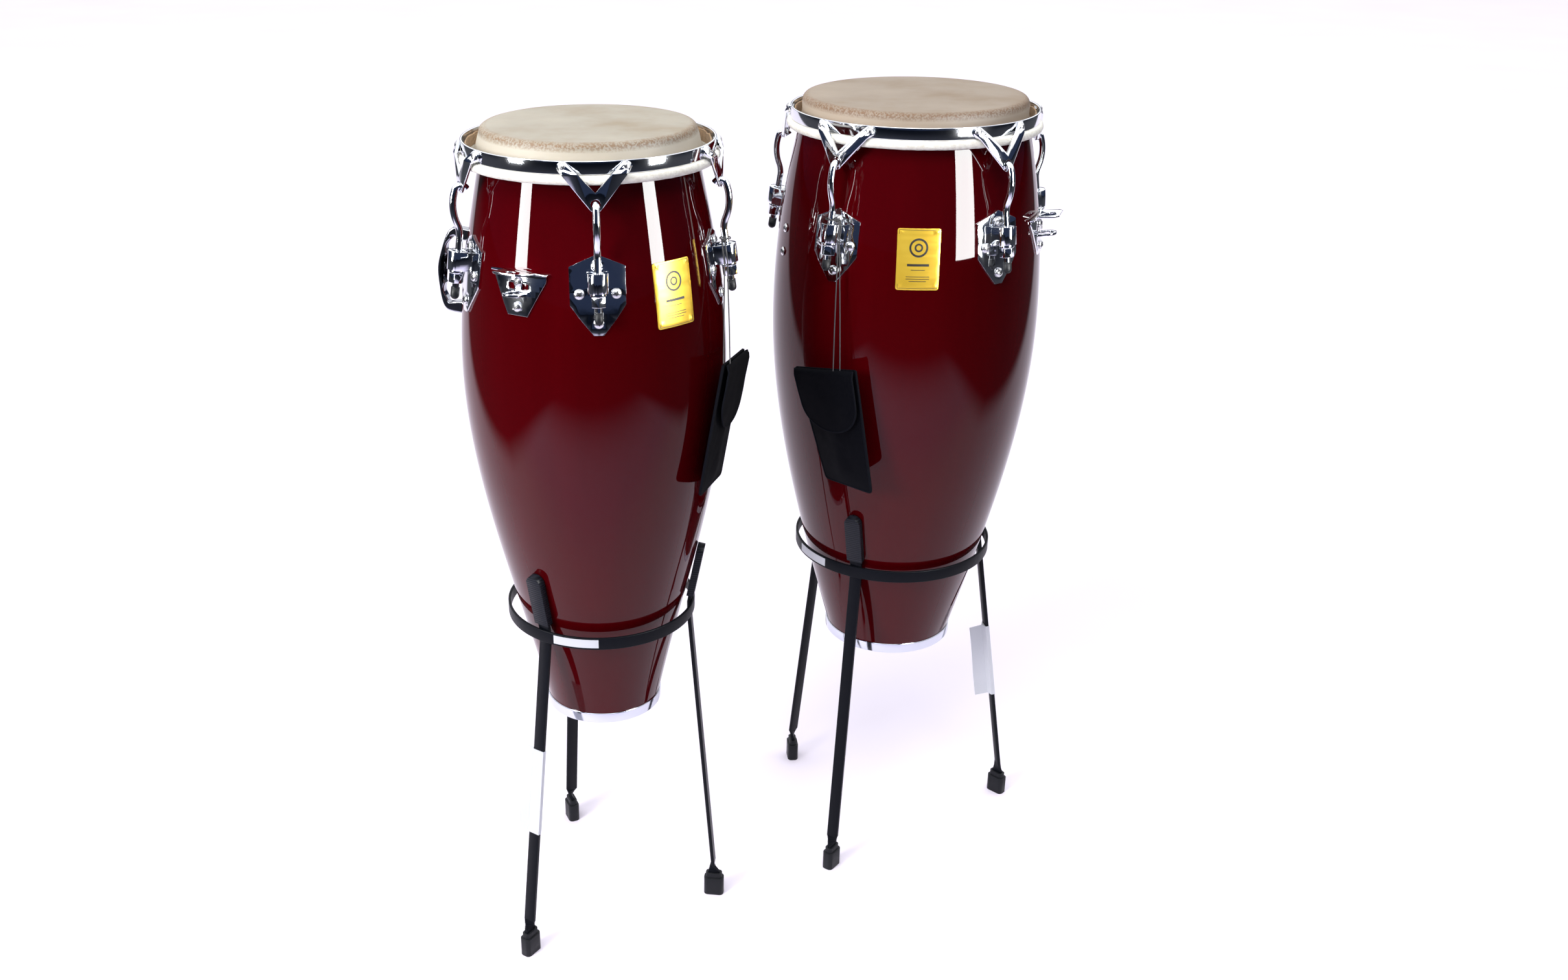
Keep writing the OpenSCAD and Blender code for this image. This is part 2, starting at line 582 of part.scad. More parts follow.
// Rings of a leg's bar from the top down: [radius, height, twist, width]
twist_end_z = foot_h + 2;
twist_steps = 4;
function leg_rings(i, k) = let (foot = foot_r[i][k] - 2) concat(
    [for (p = [leg_top(i), leg_knee(i), leg_bend(i), leg_ankle(i, k)]) [p[0], p[1], 0, leg_w]],
    [for (j = [1 : twist_steps]) let (t = j / twist_steps)
        [leg_ankle(i, k)[0] + t, ankle_z + (twist_end_z - ankle_z) * t, foot_twist[i][k] * t,
         leg_w * (1 - 0.2 * sin(180 * t))]],
    [[foot, foot_pocket_z, foot_twist[i][k], leg_w]]);

// Three flat-bar legs, twisted at the ankle
module stand_legs(i) at_stand(i) color([0.06, 0.06, 0.07]) for (k = [0 : 2]) facing(leg_az[i][k]) {
    rings = leg_rings(i, k);
    corners = [for (q = rings, c = [[-1, -1], [1, -1], [1, 1], [-1, 1]]) let (
            x = c[0] * leg_t / 2, y = c[1] * q[3] / 2)
        [q[0] + x * cos(q[2]) - y * sin(q[2]), x * sin(q[2]) + y * cos(q[2]), q[1]]];
    last = len(rings) - 1;
    walls = [for (n = [0 : last - 1], c = [0 : 3]) let (d = (c + 1) % 4, a = 4 * n, b = 4 * n + 4)
        each [[a + c, b + d, b + c], [a + c, a + d, b + d]]];
    lid = [4 * last, 4 * last + 1, 4 * last + 2, 4 * last + 3];
    polyhedron(corners, concat(walls, [[3, 2, 1, 0]], [lid]));
}

// Rubber sleeves that the shell rests against
sleeve_len = 66;
module leg_sleeves(i) at_stand(i) color([0.09, 0.1, 0.11]) for (k = [0 : 2]) {
    run = leg_top(i) - leg_knee(i);
    lean = atan(run[0] / run[1]);
    thick = leg_t + 2 * sleeve_wall;
    facing(leg_az[i][k]) difference() {
        translate([leg_top(i)[0], 0, leg_top(i)[1]]) rotate([0, lean, 0]) translate([0, 0, -sleeve_len]) {
            translate([-thick / 2, -sleeve_w / 2, 0]) cube([thick, sleeve_w, sleeve_len]);
            translate([-thick / 2, 0, sleeve_len]) rotate([0, 90, 0]) cylinder(r = sleeve_w / 2, h = thick);
        }
        rotate([90, 0, 0]) translate([0, 0, -leg_w / 2 - 0.05])
            linear_extrude(leg_w + 0.1) leg_side(i, k, 0.05);
    }
}

// Rubber feet
module leg_feet(i) at_stand(i) color([0.05, 0.05, 0.06]) for (k = [0 : 2])
    facing(leg_az[i][k]) translate([foot_r[i][k] - 2, 0, 0]) rotate([0, 0, foot_twist[i][k]]) difference() {
        union() {
            linear_extrude(foot_h - 8) rounded_plate(17, 29, 6);
            translate([0, 0, foot_h - 8]) linear_extrude(8) rounded_plate(12, 24, 5);
        }
        translate([-leg_t / 2 - 0.1, -leg_w / 2 - 0.1, foot_pocket_z])
            cube([leg_t + 0.2, leg_w + 0.2, foot_h]);
    }

module part_of(i, name) children();
for (i = [QUINTO, CONGA]) {
    part_of(i, "shell") shell(i);
    part_of(i, "base_band") base_band(i);
    part_of(i, "head") head(i);
    part_of(i, "flesh_hoop") flesh_hoop(i);
    part_of(i, "rim") rim(i);
    part_of(i, "rim_claws") rim_claws(i);
    part_of(i, "claw_rivets") claw_rivets(i);
    part_of(i, "tension_hooks") tension_hooks(i);
    part_of(i, "hook_tips") hook_tips(i);
    part_of(i, "side_plates") side_plates(i);
    part_of(i, "shell_bolts") shell_bolts(i);
    part_of(i, "backing_plates") backing_plates(i);
    part_of(i, "lug_washers") lug_washers(i);
    for (k = [0 : lug_count - 1]) part_of(i, str("lug_nut_", k + 1)) lug_nut(i, k);
    part_of(i, "mount_bracket") mount_bracket(i);
    part_of(i, "carry_handle") carry_handle(i);
    part_of(i, "badge") badge(i);
    part_of(i, "pouch") pouch(i);
    part_of(i, "pouch_flap") pouch_flap(i);
    part_of(i, "pouch_cord") pouch_cord(i);
    part_of(i, "cord_knot") cord_knot(i);
    part_of(i, "stand_ring") stand_ring(i);
    part_of(i, "stand_legs") stand_legs(i);
    part_of(i, "leg_sleeves") leg_sleeves(i);
    part_of(i, "leg_feet") leg_feet(i);
}
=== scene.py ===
"""Looks of a pair of conga drums on basket stands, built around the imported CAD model.

Shapes are worked out in millimetres in each drum's own frame, with the origin on its axis at the
shell's lower edge, and are turned into metres when a mesh is made.
"""
import math
from dataclasses import dataclass

import bpy
import numpy as np
from mathutils import Matrix, Vector, noise


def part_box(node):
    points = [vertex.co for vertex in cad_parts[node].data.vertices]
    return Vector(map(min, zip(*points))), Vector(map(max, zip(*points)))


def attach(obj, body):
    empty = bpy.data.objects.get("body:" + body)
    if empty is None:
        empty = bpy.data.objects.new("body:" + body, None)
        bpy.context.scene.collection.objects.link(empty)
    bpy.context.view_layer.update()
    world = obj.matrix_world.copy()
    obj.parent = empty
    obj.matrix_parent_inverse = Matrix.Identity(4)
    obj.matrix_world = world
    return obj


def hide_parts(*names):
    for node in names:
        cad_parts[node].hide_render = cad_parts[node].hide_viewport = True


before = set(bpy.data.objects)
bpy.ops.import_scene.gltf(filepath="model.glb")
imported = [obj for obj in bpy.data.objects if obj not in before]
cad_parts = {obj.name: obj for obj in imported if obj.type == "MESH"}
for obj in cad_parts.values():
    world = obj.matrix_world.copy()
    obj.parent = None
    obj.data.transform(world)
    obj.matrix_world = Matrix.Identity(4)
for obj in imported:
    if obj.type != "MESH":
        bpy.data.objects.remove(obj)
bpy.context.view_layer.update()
MM = 0.001


# ---------------------------------------------------------------- driving sizes

@dataclass(frozen=True)
class Drum:
    """One drum with its stand: radii in millimetres, directions in degrees from the front."""
    name: str
    base_r: float
    belly_r: float
    top_r: float
    base_slope: float
    top_slope: float
    rim_r: float
    crown_r: float
    collar_r: float
    lug_az: float
    badge_az: float
    bracket_az: float
    handle_az: float
    plug_az: float
    pouch_lug: int
    pouch_az: float
    pouch_top_z: float
    pouch_top_r: float
    pouch_lean: float
    pouch_roll: float
    pouch_yaw: float
    pouch_twist: float
    knot_side: float
    ring_r: float
    leg_az: tuple
    foot_r: tuple
    ring_label_az: float
    tag_leg: int
    tag_side: tuple
    hide_tint: tuple


QUINTO = Drum("quinto", 76, 170, 126.5, 0.2, -0.21, 156, 130.5, 141.5, 6, 41, -29, -102, 114,
              1, 70, 524, 191.5, 8.4, -6, 4, 0, -9.6, 128.5, (-34.5, 82.5, 202.5), (186, 160, 184),
              -12.5, 0, (0, -1), (0.345, 0.315, 0.258))
CONGA = Drum("conga", 89, 185, 144, 0.277, -0.28, 166.5, 148, 155.5, -39, -3, 69, 141, -75,
             0, -37, 470, 205, 9, 8.5, -12, 16, 9.6, 143.5, (-28, 100, 224), (187, 206, 190),
             -60.5, 1, (-1, 0), (0.282, 0.230, 0.178))
DRUMS = (QUINTO, CONGA)

SHELL_H = 800
BELLY_Z = 500
WALL_T = 9
BAND_H = 13
RIM_TOP = 787
RIM_H = 15.8
RIM_T = 3
ROLL_R = 5.75
SKIN_T = 1.8
ROD_R = 4.3
ROD_STANDOFF = 17
ROD_TILT = 8.6
LUG_Z = 650
LUG_COUNT = 5
LUG_STEP = 360 / LUG_COUNT
POUCH_W = 98
POUCH_H = 172
FLAP_H = 88
RING_T = 3.5


def polar(radius, azimuth, z=0.0):
    """Point in a drum's frame; azimuth is in degrees from the front (-Y) towards +X."""
    a = math.radians(azimuth)
    return Vector((radius * math.sin(a), -radius * math.cos(a), z))


def facing(azimuth):
    """Rotation that turns +X outwards at an azimuth."""
    return Matrix.Rotation(math.radians(azimuth - 90), 4, "Z")


def centre_of(node):
    """Centre of a CAD node's box, in metres."""
    low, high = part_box(node)
    return (low + high) / 2


def drum_origin(drum):
    """The drum's axis at the shell's lower edge, in metres."""
    middle = centre_of(f"{drum.name}_rim")
    return Vector((middle.x, middle.y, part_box(f"{drum.name}_shell")[0].z))


ORIGIN = {d.name: drum_origin(d) for d in DRUMS}
BASE_Z = ORIGIN["quinto"].z / MM


# ---------------------------------------------------------------- camera, which comes first

CAMERA_HEIGHT = 1.4849
CAMERA_TILT = 66.207
quinto_axis = ORIGIN["quinto"]
camera_data = bpy.data.cameras.new("camera")
camera_data.lens = 35.49
camera_data.sensor_width = 36
camera_data.shift_x = 0.0537
camera = bpy.data.objects.new("camera", camera_data)
camera.location = (quinto_axis.x + 0.1354, quinto_axis.y - 1.8985, CAMERA_HEIGHT)
camera.rotation_euler = (math.radians(CAMERA_TILT), 0, 0)
bpy.context.scene.collection.objects.link(camera)
bpy.context.scene.camera = camera


# ---------------------------------------------------------------- shader helpers

class Shader:
    """A Principled material with short calls for the nodes used here."""

    def __init__(self, name, **values):
        self.mat = bpy.data.materials.new(name)
        self.mat.use_nodes = True
        self.tree = self.mat.node_tree
        self.bsdf = self.tree.nodes["Principled BSDF"]
        for key, value in values.items():
            self.bsdf.inputs[key.replace("_", " ")].default_value = value

    def node(self, kind, **inputs):
        made = self.tree.nodes.new(kind)
        for key, value in inputs.items():
            self.feed(made.inputs[key.replace("_", " ")], value)
        return made

    def feed(self, socket, value):
        if isinstance(value, bpy.types.NodeSocket):
            self.tree.links.new(value, socket)
        else:
            socket.default_value = value

    def set(self, name, value):
        self.feed(self.bsdf.inputs[name], value)

    def coords(self, scale=(1, 1, 1)):
        texture = self.node("ShaderNodeTexCoord")
        return self.node("ShaderNodeMapping", Vector=texture.outputs["Object"],
                         Scale=scale).outputs["Vector"]

    def noise(self, scale, detail=3.0, stretch=(1, 1, 1), roughness=0.55):
        return self.node("ShaderNodeTexNoise", Vector=self.coords(stretch), Scale=scale,
                         Detail=detail, Roughness=roughness).outputs["Fac"]

    def ramp(self, fac, stops):
        made = self.node("ShaderNodeValToRGB", Fac=fac)
        elements = made.color_ramp.elements
        while len(elements) < len(stops):
            elements.new(0.5)
        for element, (place, colour) in zip(elements, stops):
            element.position = place
            element.color = (*colour, 1) if len(colour) == 3 else colour
        return made.outputs["Color"]

    def mix(self, fac, a, b, blend="MIX"):
        made = self.tree.nodes.new("ShaderNodeMix")
        made.data_type = "RGBA"
        made.blend_type = blend
        self.feed(made.inputs["Factor"], fac)
        self.feed(made.inputs["A"], a if isinstance(a, bpy.types.NodeSocket) else (*a, 1))
        self.feed(made.inputs["B"], b if isinstance(b, bpy.types.NodeSocket) else (*b, 1))
        return made.outputs["Result"]

    def math(self, operation, a, b=0.0):
        made = self.tree.nodes.new("ShaderNodeMath")
        made.operation = operation
        self.feed(made.inputs[0], a)
        self.feed(made.inputs[1], b)
        return made.outputs["Value"]

    def spread(self, fac, low, high):
        return self.node("ShaderNodeMapRange", Value=fac, To_Min=low, To_Max=high).outputs["Result"]

    def bump(self, height, strength, distance):
        made = self.node("ShaderNodeBump", Height=height, Strength=strength, Distance=distance)
        self.set("Normal", made.outputs["Normal"])
        return made


def lacquer():
    """Wine-red gloss lacquer over staves, with a faint grain and orange peel."""
    s = Shader("wine_lacquer", Roughness=0.32, Coat_Weight=1.0, Coat_Roughness=0.02, Coat_IOR=1.29)
    grain = s.noise(26, 5, (1, 1, 0.05))
    cloud = s.noise(5, 2, (1, 1, 0.5))
    base = s.mix(s.spread(grain, 0.2, 0.8), (0.038, 0.0002, 0.0009), (0.076, 0.0004, 0.0019))
    s.set("Base Color", s.mix(s.spread(cloud, 0.0, 0.5), base, (0.046, 0.0002, 0.0014)))
    turn = s.node("ShaderNodeTexGradient", Vector=s.coords())
    turn.gradient_type = "RADIAL"
    stave = s.math("FRACT", s.math("MULTIPLY", turn.outputs["Fac"], 20))
    seam = s.ramp(s.math("ABSOLUTE", s.math("SUBTRACT", stave, 0.5)),
                  ((0, (0, 0, 0)), (0.47, (0, 0, 0)), (0.5, (1, 1, 1))))
    peel = s.noise(90, 2, (1, 1, 0.6))
    height = s.math("SUBTRACT", s.math("MULTIPLY", peel, 0.5), s.math("MULTIPLY", seam, 0.35))
    s.bump(height, 0.06, 0.001)
    s.set("Specular IOR Level", 0.0)
    return s.mat


def raw_wood():
    """Bare wood inside the shell."""
    s = Shader("raw_wood", Roughness=0.75)
    grain = s.noise(40, 6, (1, 1, 0.04))
    s.set("Base Color", s.ramp(grain, ((0.25, (0.36, 0.22, 0.11)), (0.75, (0.62, 0.44, 0.26)))))
    s.bump(grain, 0.25, 0.0008)
    return s.mat


def chrome(name="chrome", colour=(0.78, 0.80, 0.84), rough=0.05):
    """Polished plating with faint smears."""
    s = Shader(name, Metallic=1.0)
    smeared = tuple(0.8 * c for c in colour)
    s.set("Base Color", s.mix(s.spread(s.noise(30, 3), 0.0, 0.25), colour, smeared))
    s.set("Roughness", s.spread(s.noise(55, 4), rough * 0.7, rough * 2.2))
    s.bump(s.noise(160, 2), 0.03, 0.0004)
    return s.mat


def steel():
    """Zinc-plated steel, slightly dull."""
    s = Shader("zinc_steel", Metallic=1.0)
    spangle = s.noise(120, 4)
    s.set("Base Color", s.ramp(spangle, ((0.3, (0.50, 0.50, 0.51)), (0.7, (0.72, 0.72, 0.73)))))
    s.set("Roughness", s.spread(s.noise(80, 3), 0.16, 0.34))
    s.bump(s.noise(500, 2), 0.08, 0.0003)
    return s.mat


def rawhide(drum):
    """Natural skin: mottled, with a browner grainy ring where it bends over the edge; the side
    below the crown carries painted light, a paler colour for the light falling on it.
    """
    s = Shader(f"{drum.name}_rawhide", Roughness=0.6, Specular_IOR_Level=0.3)
    s.set("Subsurface Weight", 0.06)
    s.set("Subsurface Radius", (0.006, 0.003, 0.0015))
    tint = drum.hide_tint
    pale = tuple(min(1, c * 1.16) for c in tint)
    dark = tuple(c * k for c, k in zip(tint, (0.80, 0.72, 0.62)))
    cloud = s.noise(9, 5)
    skin = s.ramp(cloud, ((0.30, dark), (0.50, tint), (0.72, pale)))
    fibre = s.noise(70, 6, (1, 1, 1), 0.7)
    skin = s.mix(s.spread(fibre, 0.0, 0.22), skin, dark)
    split = s.node("ShaderNodeSeparateXYZ", Vector=s.coords())
    radius = s.node("ShaderNodeVectorMath")
    radius.operation = "LENGTH"
    flat = s.node("ShaderNodeCombineXYZ", X=split.outputs["X"], Y=split.outputs["Y"])
    s.feed(radius.inputs[0], flat.outputs["Vector"])
    crown = drum.crown_r * MM
    ring = s.node("ShaderNodeMapRange", Value=radius.outputs["Value"], From_Min=crown - 0.008,
                  From_Max=crown + 0.002).outputs["Result"]
    collar = s.node("ShaderNodeMapRange", Value=split.outputs["Z"], From_Min=(SHELL_H - 9) * MM,
                    From_Max=(SHELL_H - 2) * MM).outputs["Result"]
    speckle = s.ramp(s.noise(380, 3), ((0.44, (0, 0, 0)), (0.56, (1, 1, 1))))
    band = s.math("MULTIPLY", s.math("MULTIPLY", ring, collar), s.spread(speckle, 0.12, 0.95))
    brown = tuple(c * k for c, k in zip(tint, (0.62, 0.38, 0.22)))
    # Painted light: below the crown the skin is painted 1.4 times paler than the top, for the light
    # that falls on the head's side.
    side = s.mix(s.math("SUBTRACT", 1.0, collar), skin, tuple(min(1, c * 1.4) for c in tint))
    s.set("Base Color", s.mix(band, side, brown))
    s.bump(s.math("ADD", s.math("MULTIPLY", fibre, 0.6), cloud), 0.22, 0.0012)
    return s.mat


def hide_roll(name, colour, dark):
    """Thick cut hide: pale, fibrous and rough."""
    s = Shader(name, Roughness=0.85, Sheen_Weight=0.2)
    fibre = s.noise(160, 6, (1, 1, 1.6), 0.7)
    pale = tuple(min(1, c * 1.1) for c in colour)
    s.set("Base Color", s.ramp(fibre, ((0.28, dark), (0.55, colour), (0.8, pale))))
    s.bump(s.math("ADD", fibre, s.noise(45, 3)), 0.75, 0.0016)
    return s.mat


def gold_plate():
    """Satin yellow-gold plate with brushed lines."""
    s = Shader("gold_plate", Metallic=0.55)
    brushed = s.noise(300, 2, (0.05, 0.05, 1))
    tone = s.noise(12, 3)
    s.set("Base Color", s.ramp(tone, ((0.3, (0.80, 0.50, 0.035)), (0.7, (0.95, 0.66, 0.07)))))
    s.set("Roughness", s.spread(brushed, 0.26, 0.40))
    s.bump(brushed, 0.05, 0.0003)
    return s.mat


def plain(name, colour, rough, variation=0.2, scale=60, bump=0.1, **values):
    """A paint, rubber or plastic with small changes in tone and gloss."""
    s = Shader(name, **values)
    dark = tuple(c * (1 - variation) for c in colour)
    fac = s.noise(scale, 4)
    s.set("Base Color", s.mix(fac, dark, colour))
    s.set("Roughness", s.spread(s.noise(scale * 2.3, 3), rough * 0.8, rough * 1.2))
    s.bump(s.noise(scale * 8, 3), bump, 0.0006)
    return s.mat


def ribbed_rubber():
    """Black sleeve rubber with fine lengthwise ribs, their grooves painted darker as painted shade.
    """
    s = Shader("ribbed_rubber", Roughness=0.38, Specular_IOR_Level=0.12)
    ribs = s.node("ShaderNodeTexWave", Vector=s.coords(), Scale=95.0, Distortion=0.3)
    ribs.bands_direction = "Z"
    # Painted shade: the colour follows the rib height, darker down in the grooves and paler on the
    # ridges.
    s.set("Base Color", s.mix(ribs.outputs["Fac"], (0.006, 0.007, 0.010), (0.016, 0.018, 0.025)))
    height = s.math("ADD", s.math("MULTIPLY", ribs.outputs["Fac"], 0.8), s.noise(300, 2))
    s.bump(height, 0.35, 0.0008)
    return s.mat


def nylon(name, colour, threads):
    """Woven nylon: crossed threads with a soft sheen painted into the colour, paler where the
    threads cross and rise, over patchy fading.
    """
    s = Shader(name, Roughness=0.75, Specular_IOR_Level=0.04)
    warp = s.node("ShaderNodeTexWave", Vector=s.coords(), Scale=threads, Distortion=0.6)
    warp.bands_direction = "Z"
    weft = s.node("ShaderNodeTexWave", Vector=s.coords(), Scale=threads, Distortion=0.6)
    weft.bands_direction = "Y"
    cloth = s.math("MULTIPLY", warp.outputs["Fac"], weft.outputs["Fac"])
    fade = s.noise(14, 3)
    fade_and_sheen = tuple(2.2 * c for c in colour)
    tone = s.mix(s.spread(fade, 0.0, 0.35), colour, fade_and_sheen)
    # Painted sheen: the raised thread crossings take the paler colour, as if catching light; the
    # same paler colour also marks the patchy fading.
    s.set("Base Color", s.mix(s.spread(cloth, 0.1, 0.45), tone, fade_and_sheen))
    s.bump(s.math("ADD", cloth, s.math("MULTIPLY", fade, 1.5)), 0.4, 0.0006)
    return s.mat


MAT = {
    "lacquer": lacquer(),
    "wood": raw_wood(),
    "chrome": chrome(),
    "band_chrome": chrome("band_chrome", (0.62, 0.65, 0.72), 0.09),
    "dark_chrome": chrome("dark_chrome", (0.34, 0.35, 0.39), 0.07),
    "steel": steel(),
    "quinto_hide": rawhide(QUINTO),
    "conga_hide": rawhide(CONGA),
    "roll": hide_roll("hide_roll", (0.80, 0.78, 0.70), (0.62, 0.57, 0.47)),
    "cut_edge": hide_roll("cut_hide_edge", (0.42, 0.26, 0.12), (0.20, 0.11, 0.05)),
    "gold": gold_plate(),
    "ink": plain("etched_black", (0.012, 0.011, 0.010), 0.45),
    "paint": plain("black_powder_coat", (0.004, 0.005, 0.008), 0.42, 0.3, 90, 0.14,
                   Specular_IOR_Level=0.09),
    "rubber": plain("black_rubber", (0.006, 0.007, 0.010), 0.5, 0.3, 70, 0.25,
                    Specular_IOR_Level=0.25),
    "sleeve": ribbed_rubber(),
    "nylon": nylon("pouch_nylon", (0.0018, 0.0020, 0.0032), 330.0),
    "binding": nylon("binding_tape", (0.0030, 0.0034, 0.0055), 620.0),
    "cord": plain("waxed_cord", (0.030, 0.028, 0.030), 0.6, 0.4, 400, 0.4),
    "paper": plain("blank_paper", (0.60, 0.62, 0.66), 0.5, 0.06, 40, 0.08),
}


# ---------------------------------------------------------------- mesh helpers

def piece(name, verts, faces, material, origin=Vector(), sharp=35):
    """Mesh object from points in millimetres, at an origin in metres."""
    mesh = bpy.data.meshes.new(name)
    mesh.from_pydata([Vector(v) * MM for v in verts], [], faces)
    for m in material if isinstance(material, (list, tuple)) else [material]:
        mesh.materials.append(m)
    mesh.shade_smooth()
    mesh.set_sharp_from_angle(angle=math.radians(sharp))
    made = bpy.data.objects.new(name, mesh)
    made.location = origin
    bpy.context.scene.collection.objects.link(made)
    return made


def grid_faces(rows, cols, wrap_rows=False, wrap_cols=False):
    """Quads of a grid of points stored row by row."""
    faces = []
    for i in range(rows if wrap_rows else rows - 1):
        for j in range(cols if wrap_cols else cols - 1):
            a, b = i % rows, (i + 1) % rows
            c, d = j % cols, (j + 1) % cols
            faces.append((a * cols + c, a * cols + d, b * cols + d, b * cols + c))
    return faces


def lathe(name, profile, material, origin, segments=192, wobble=None, inner_from=None):
    """Closed ring or bowl from an outline of (radius, height) points, listed counter-clockwise.

    wobble(radius, height, azimuth) returns moved (radius, height). Faces of outline steps from
    inner_from on take the second material.
    """
    verts = []
    for j in range(segments):
        azimuth = 360 * j / segments
        for r, z in profile:
            if wobble:
                r, z = wobble(r, z, azimuth)
            verts.append(polar(r, azimuth, z))
    count = len(profile)
    faces = grid_faces(segments, count, wrap_rows=True, wrap_cols=True)
    made = piece(name, verts, faces, material, origin)
    if inner_from is not None:
        for n, face in enumerate(made.data.polygons):
            face.material_index = 1 if n % count >= inner_from else 0
    return made


def disc(name, profile, material, origin, segments=192, wobble=None):
    """Solid of revolution whose outline starts and ends on the axis."""
    inner = profile[1:-1]
    verts = [Vector((0, 0, profile[0][1]))]
    for j in range(segments):
        azimuth = 360 * j / segments
        for r, z in inner:
            if wobble:
                r, z = wobble(r, z, azimuth)
            verts.append(polar(r, azimuth, z))
    verts.append(Vector((0, 0, profile[-1][1])))
    count = len(inner)
    last = len(verts) - 1
    faces = []
    for j in range(segments):
        a, b = 1 + j * count, 1 + ((j + 1) % segments) * count
        faces.append((0, b, a))
        faces += [(a + k, b + k, b + k + 1, a + k + 1) for k in range(count - 1)]
        faces.append((a + count - 1, b + count - 1, last))
    return piece(name, verts, faces, material, origin)


def arc(cx, cy, r, start, end, steps):
    """Points along an arc, angles in degrees."""
    return [(cx + r * math.cos(math.radians(start + (end - start) * k / steps)),
             cy + r * math.sin(math.radians(start + (end - start) * k / steps)))
            for k in range(steps + 1)]


def box_outline(r0, r1, z0, z1, edge):
    """Outline of a strip with rounded edges, counter-clockwise."""
    corners = ((r1 - edge, z0 + edge, -90), (r1 - edge, z1 - edge, 0),
               (r0 + edge, z1 - edge, 90), (r0 + edge, z0 + edge, 180))
    return [p for x, y, a in corners for p in arc(x, y, edge, a, a + 90, 4)]


def smooth_route(points, steps):
    """Catmull-Rom curve through points, as Vectors."""
    p = [Vector(q) for q in points]
    path = []
    for k in range(len(p) - 1):
        a, b, c, d = p[max(k - 1, 0)], p[k], p[k + 1], p[min(k + 2, len(p) - 1)]
        for j in range(steps):
            t = j / steps
            path.append(0.5 * (2 * b + (c - a) * t + (2 * a - 5 * b + 4 * c - d) * t ** 2
                               + (3 * b - a - 3 * c + d) * t ** 3))
    return path + [p[-1]]


def tube(name, paths, radius, material, origin=Vector(), closed=False, sides=5):
    """Curve object with round section along one or more paths in millimetres."""
    data = bpy.data.curves.new(name, "CURVE")
    data.dimensions = "3D"
    data.bevel_depth = radius * MM
    data.bevel_resolution = sides
    data.use_fill_caps = not closed
    for path in paths:
        spline = data.splines.new("POLY")
        spline.points.add(len(path) - 1)
        for point, place in zip(spline.points, path):
            point.co = (*(Vector(place) * MM), 1)
        spline.use_smooth = True
        spline.use_cyclic_u = closed
    data.materials.append(material)
    made = bpy.data.objects.new(name, data)
    made.location = origin
    bpy.context.scene.collection.objects.link(made)
    return made


def blend_curve(a, ma, b, mb, span, t):
    return ((2 * t ** 3 - 3 * t ** 2 + 1) * a + (t ** 3 - 2 * t ** 2 + t) * span * ma
            + (-2 * t ** 3 + 3 * t ** 2) * b + (t ** 3 - t ** 2) * span * mb)


def shell_r(drum, z):
    """Outer radius of a shell at height z."""
    if z < BELLY_Z:
        return blend_curve(drum.base_r, drum.base_slope, drum.belly_r, 0, BELLY_Z, z / BELLY_Z)
    span = SHELL_H - BELLY_Z
    return blend_curve(drum.belly_r, 0, drum.top_r, drum.top_slope, span, (z - BELLY_Z) / span)


def wall_lean(drum, z):
    """Lean of the wall in degrees, positive where it narrows upwards."""
    return math.degrees(math.atan((shell_r(drum, z - 5) - shell_r(drum, z + 5)) / 10))


def on_shell(drum, azimuth, z, side=0.0, lift=0.0):
    """Matrix at a place on the shell: +X out of the wall, +Y sideways, +Z up along it."""
    r = shell_r(drum, z)
    turn = azimuth + math.degrees(math.asin(side / r))
    return (facing(turn) @ Matrix.Translation((r, 0, z))
            @ Matrix.Rotation(math.radians(-wall_lean(drum, z)), 4, "Y")
            @ Matrix.Translation((lift, 0, 0)))


def barrel_r(drum):
    return shell_r(drum, LUG_Z) + ROD_STANDOFF


def finish_cad(node, material, bevel=0.4):
    """Gives a CAD node its material, softened edges and smooth shading."""
    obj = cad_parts[node]
    obj.data.materials.clear()
    obj.data.materials.append(MAT[material])
    obj.data.shade_smooth()
    weld = obj.modifiers.new("weld", "WELD")
    weld.merge_threshold = 0.00002
    if bevel:
        soft = obj.modifiers.new("bevel", "BEVEL")
        soft.width = bevel * MM
        soft.segments = 2
        soft.limit_method = "ANGLE"
        soft.angle_limit = math.radians(38)
        soft.harden_normals = True


# ---------------------------------------------------------------- cords, which come next

CORD_R = 0.8
CORD_ROUTE = {
    "quinto": [
        (-47.5, -209, 863.5), (-47, -187, 907.5), (-46.5, -165, 952), (-46.5, -154, 974),
        (-48.5, -153.5, 990), (-49.5, -151, 999.5), (-50, -146, 1002), (-52, -139.5, 1002),
        (-49, -133, 1002), (-44, -132, 1002), (-39.5, -135, 1002), (-39.5, -142.5, 1002),
        (-44, -147.5, 1002), (-45.5, -151.5, 999.5), (-44.5, -154.5, 990), (-42.5, -155, 974),
        (-42, -165, 951.5), (-40.5, -185.5, 906.5), (-39.5, -206, 862)],
    "conga": [
        (107.5, -79, 808.5), (106, -69.5, 875), (104, -59.5, 941), (103, -55, 974),
        (104.5, -53, 990), (103.5, -50, 999.5), (101, -46, 1002), (98.5, -39.5, 1002),
        (92, -36.5, 1002), (87.5, -39, 1002), (85.5, -44, 1002), (90.5, -50, 1002),
        (97, -51, 1002), (101, -53.5, 999.5), (102, -56, 990), (100.5, -58, 974),
        (100.5, -61.5, 940.5), (99.5, -68, 873.5), (99, -75, 806.5)],
}
ROUTE_STEPS = 8
PAIR_SHIFT = (-4, -10)
KNOT_Z = 667.5
KNOT_R = 2.1
KNOT_SWING = 0.9
KNOT_RISE = 1.5
KNOT_CORD_R = 1.05
KNOT_POINTS = 48


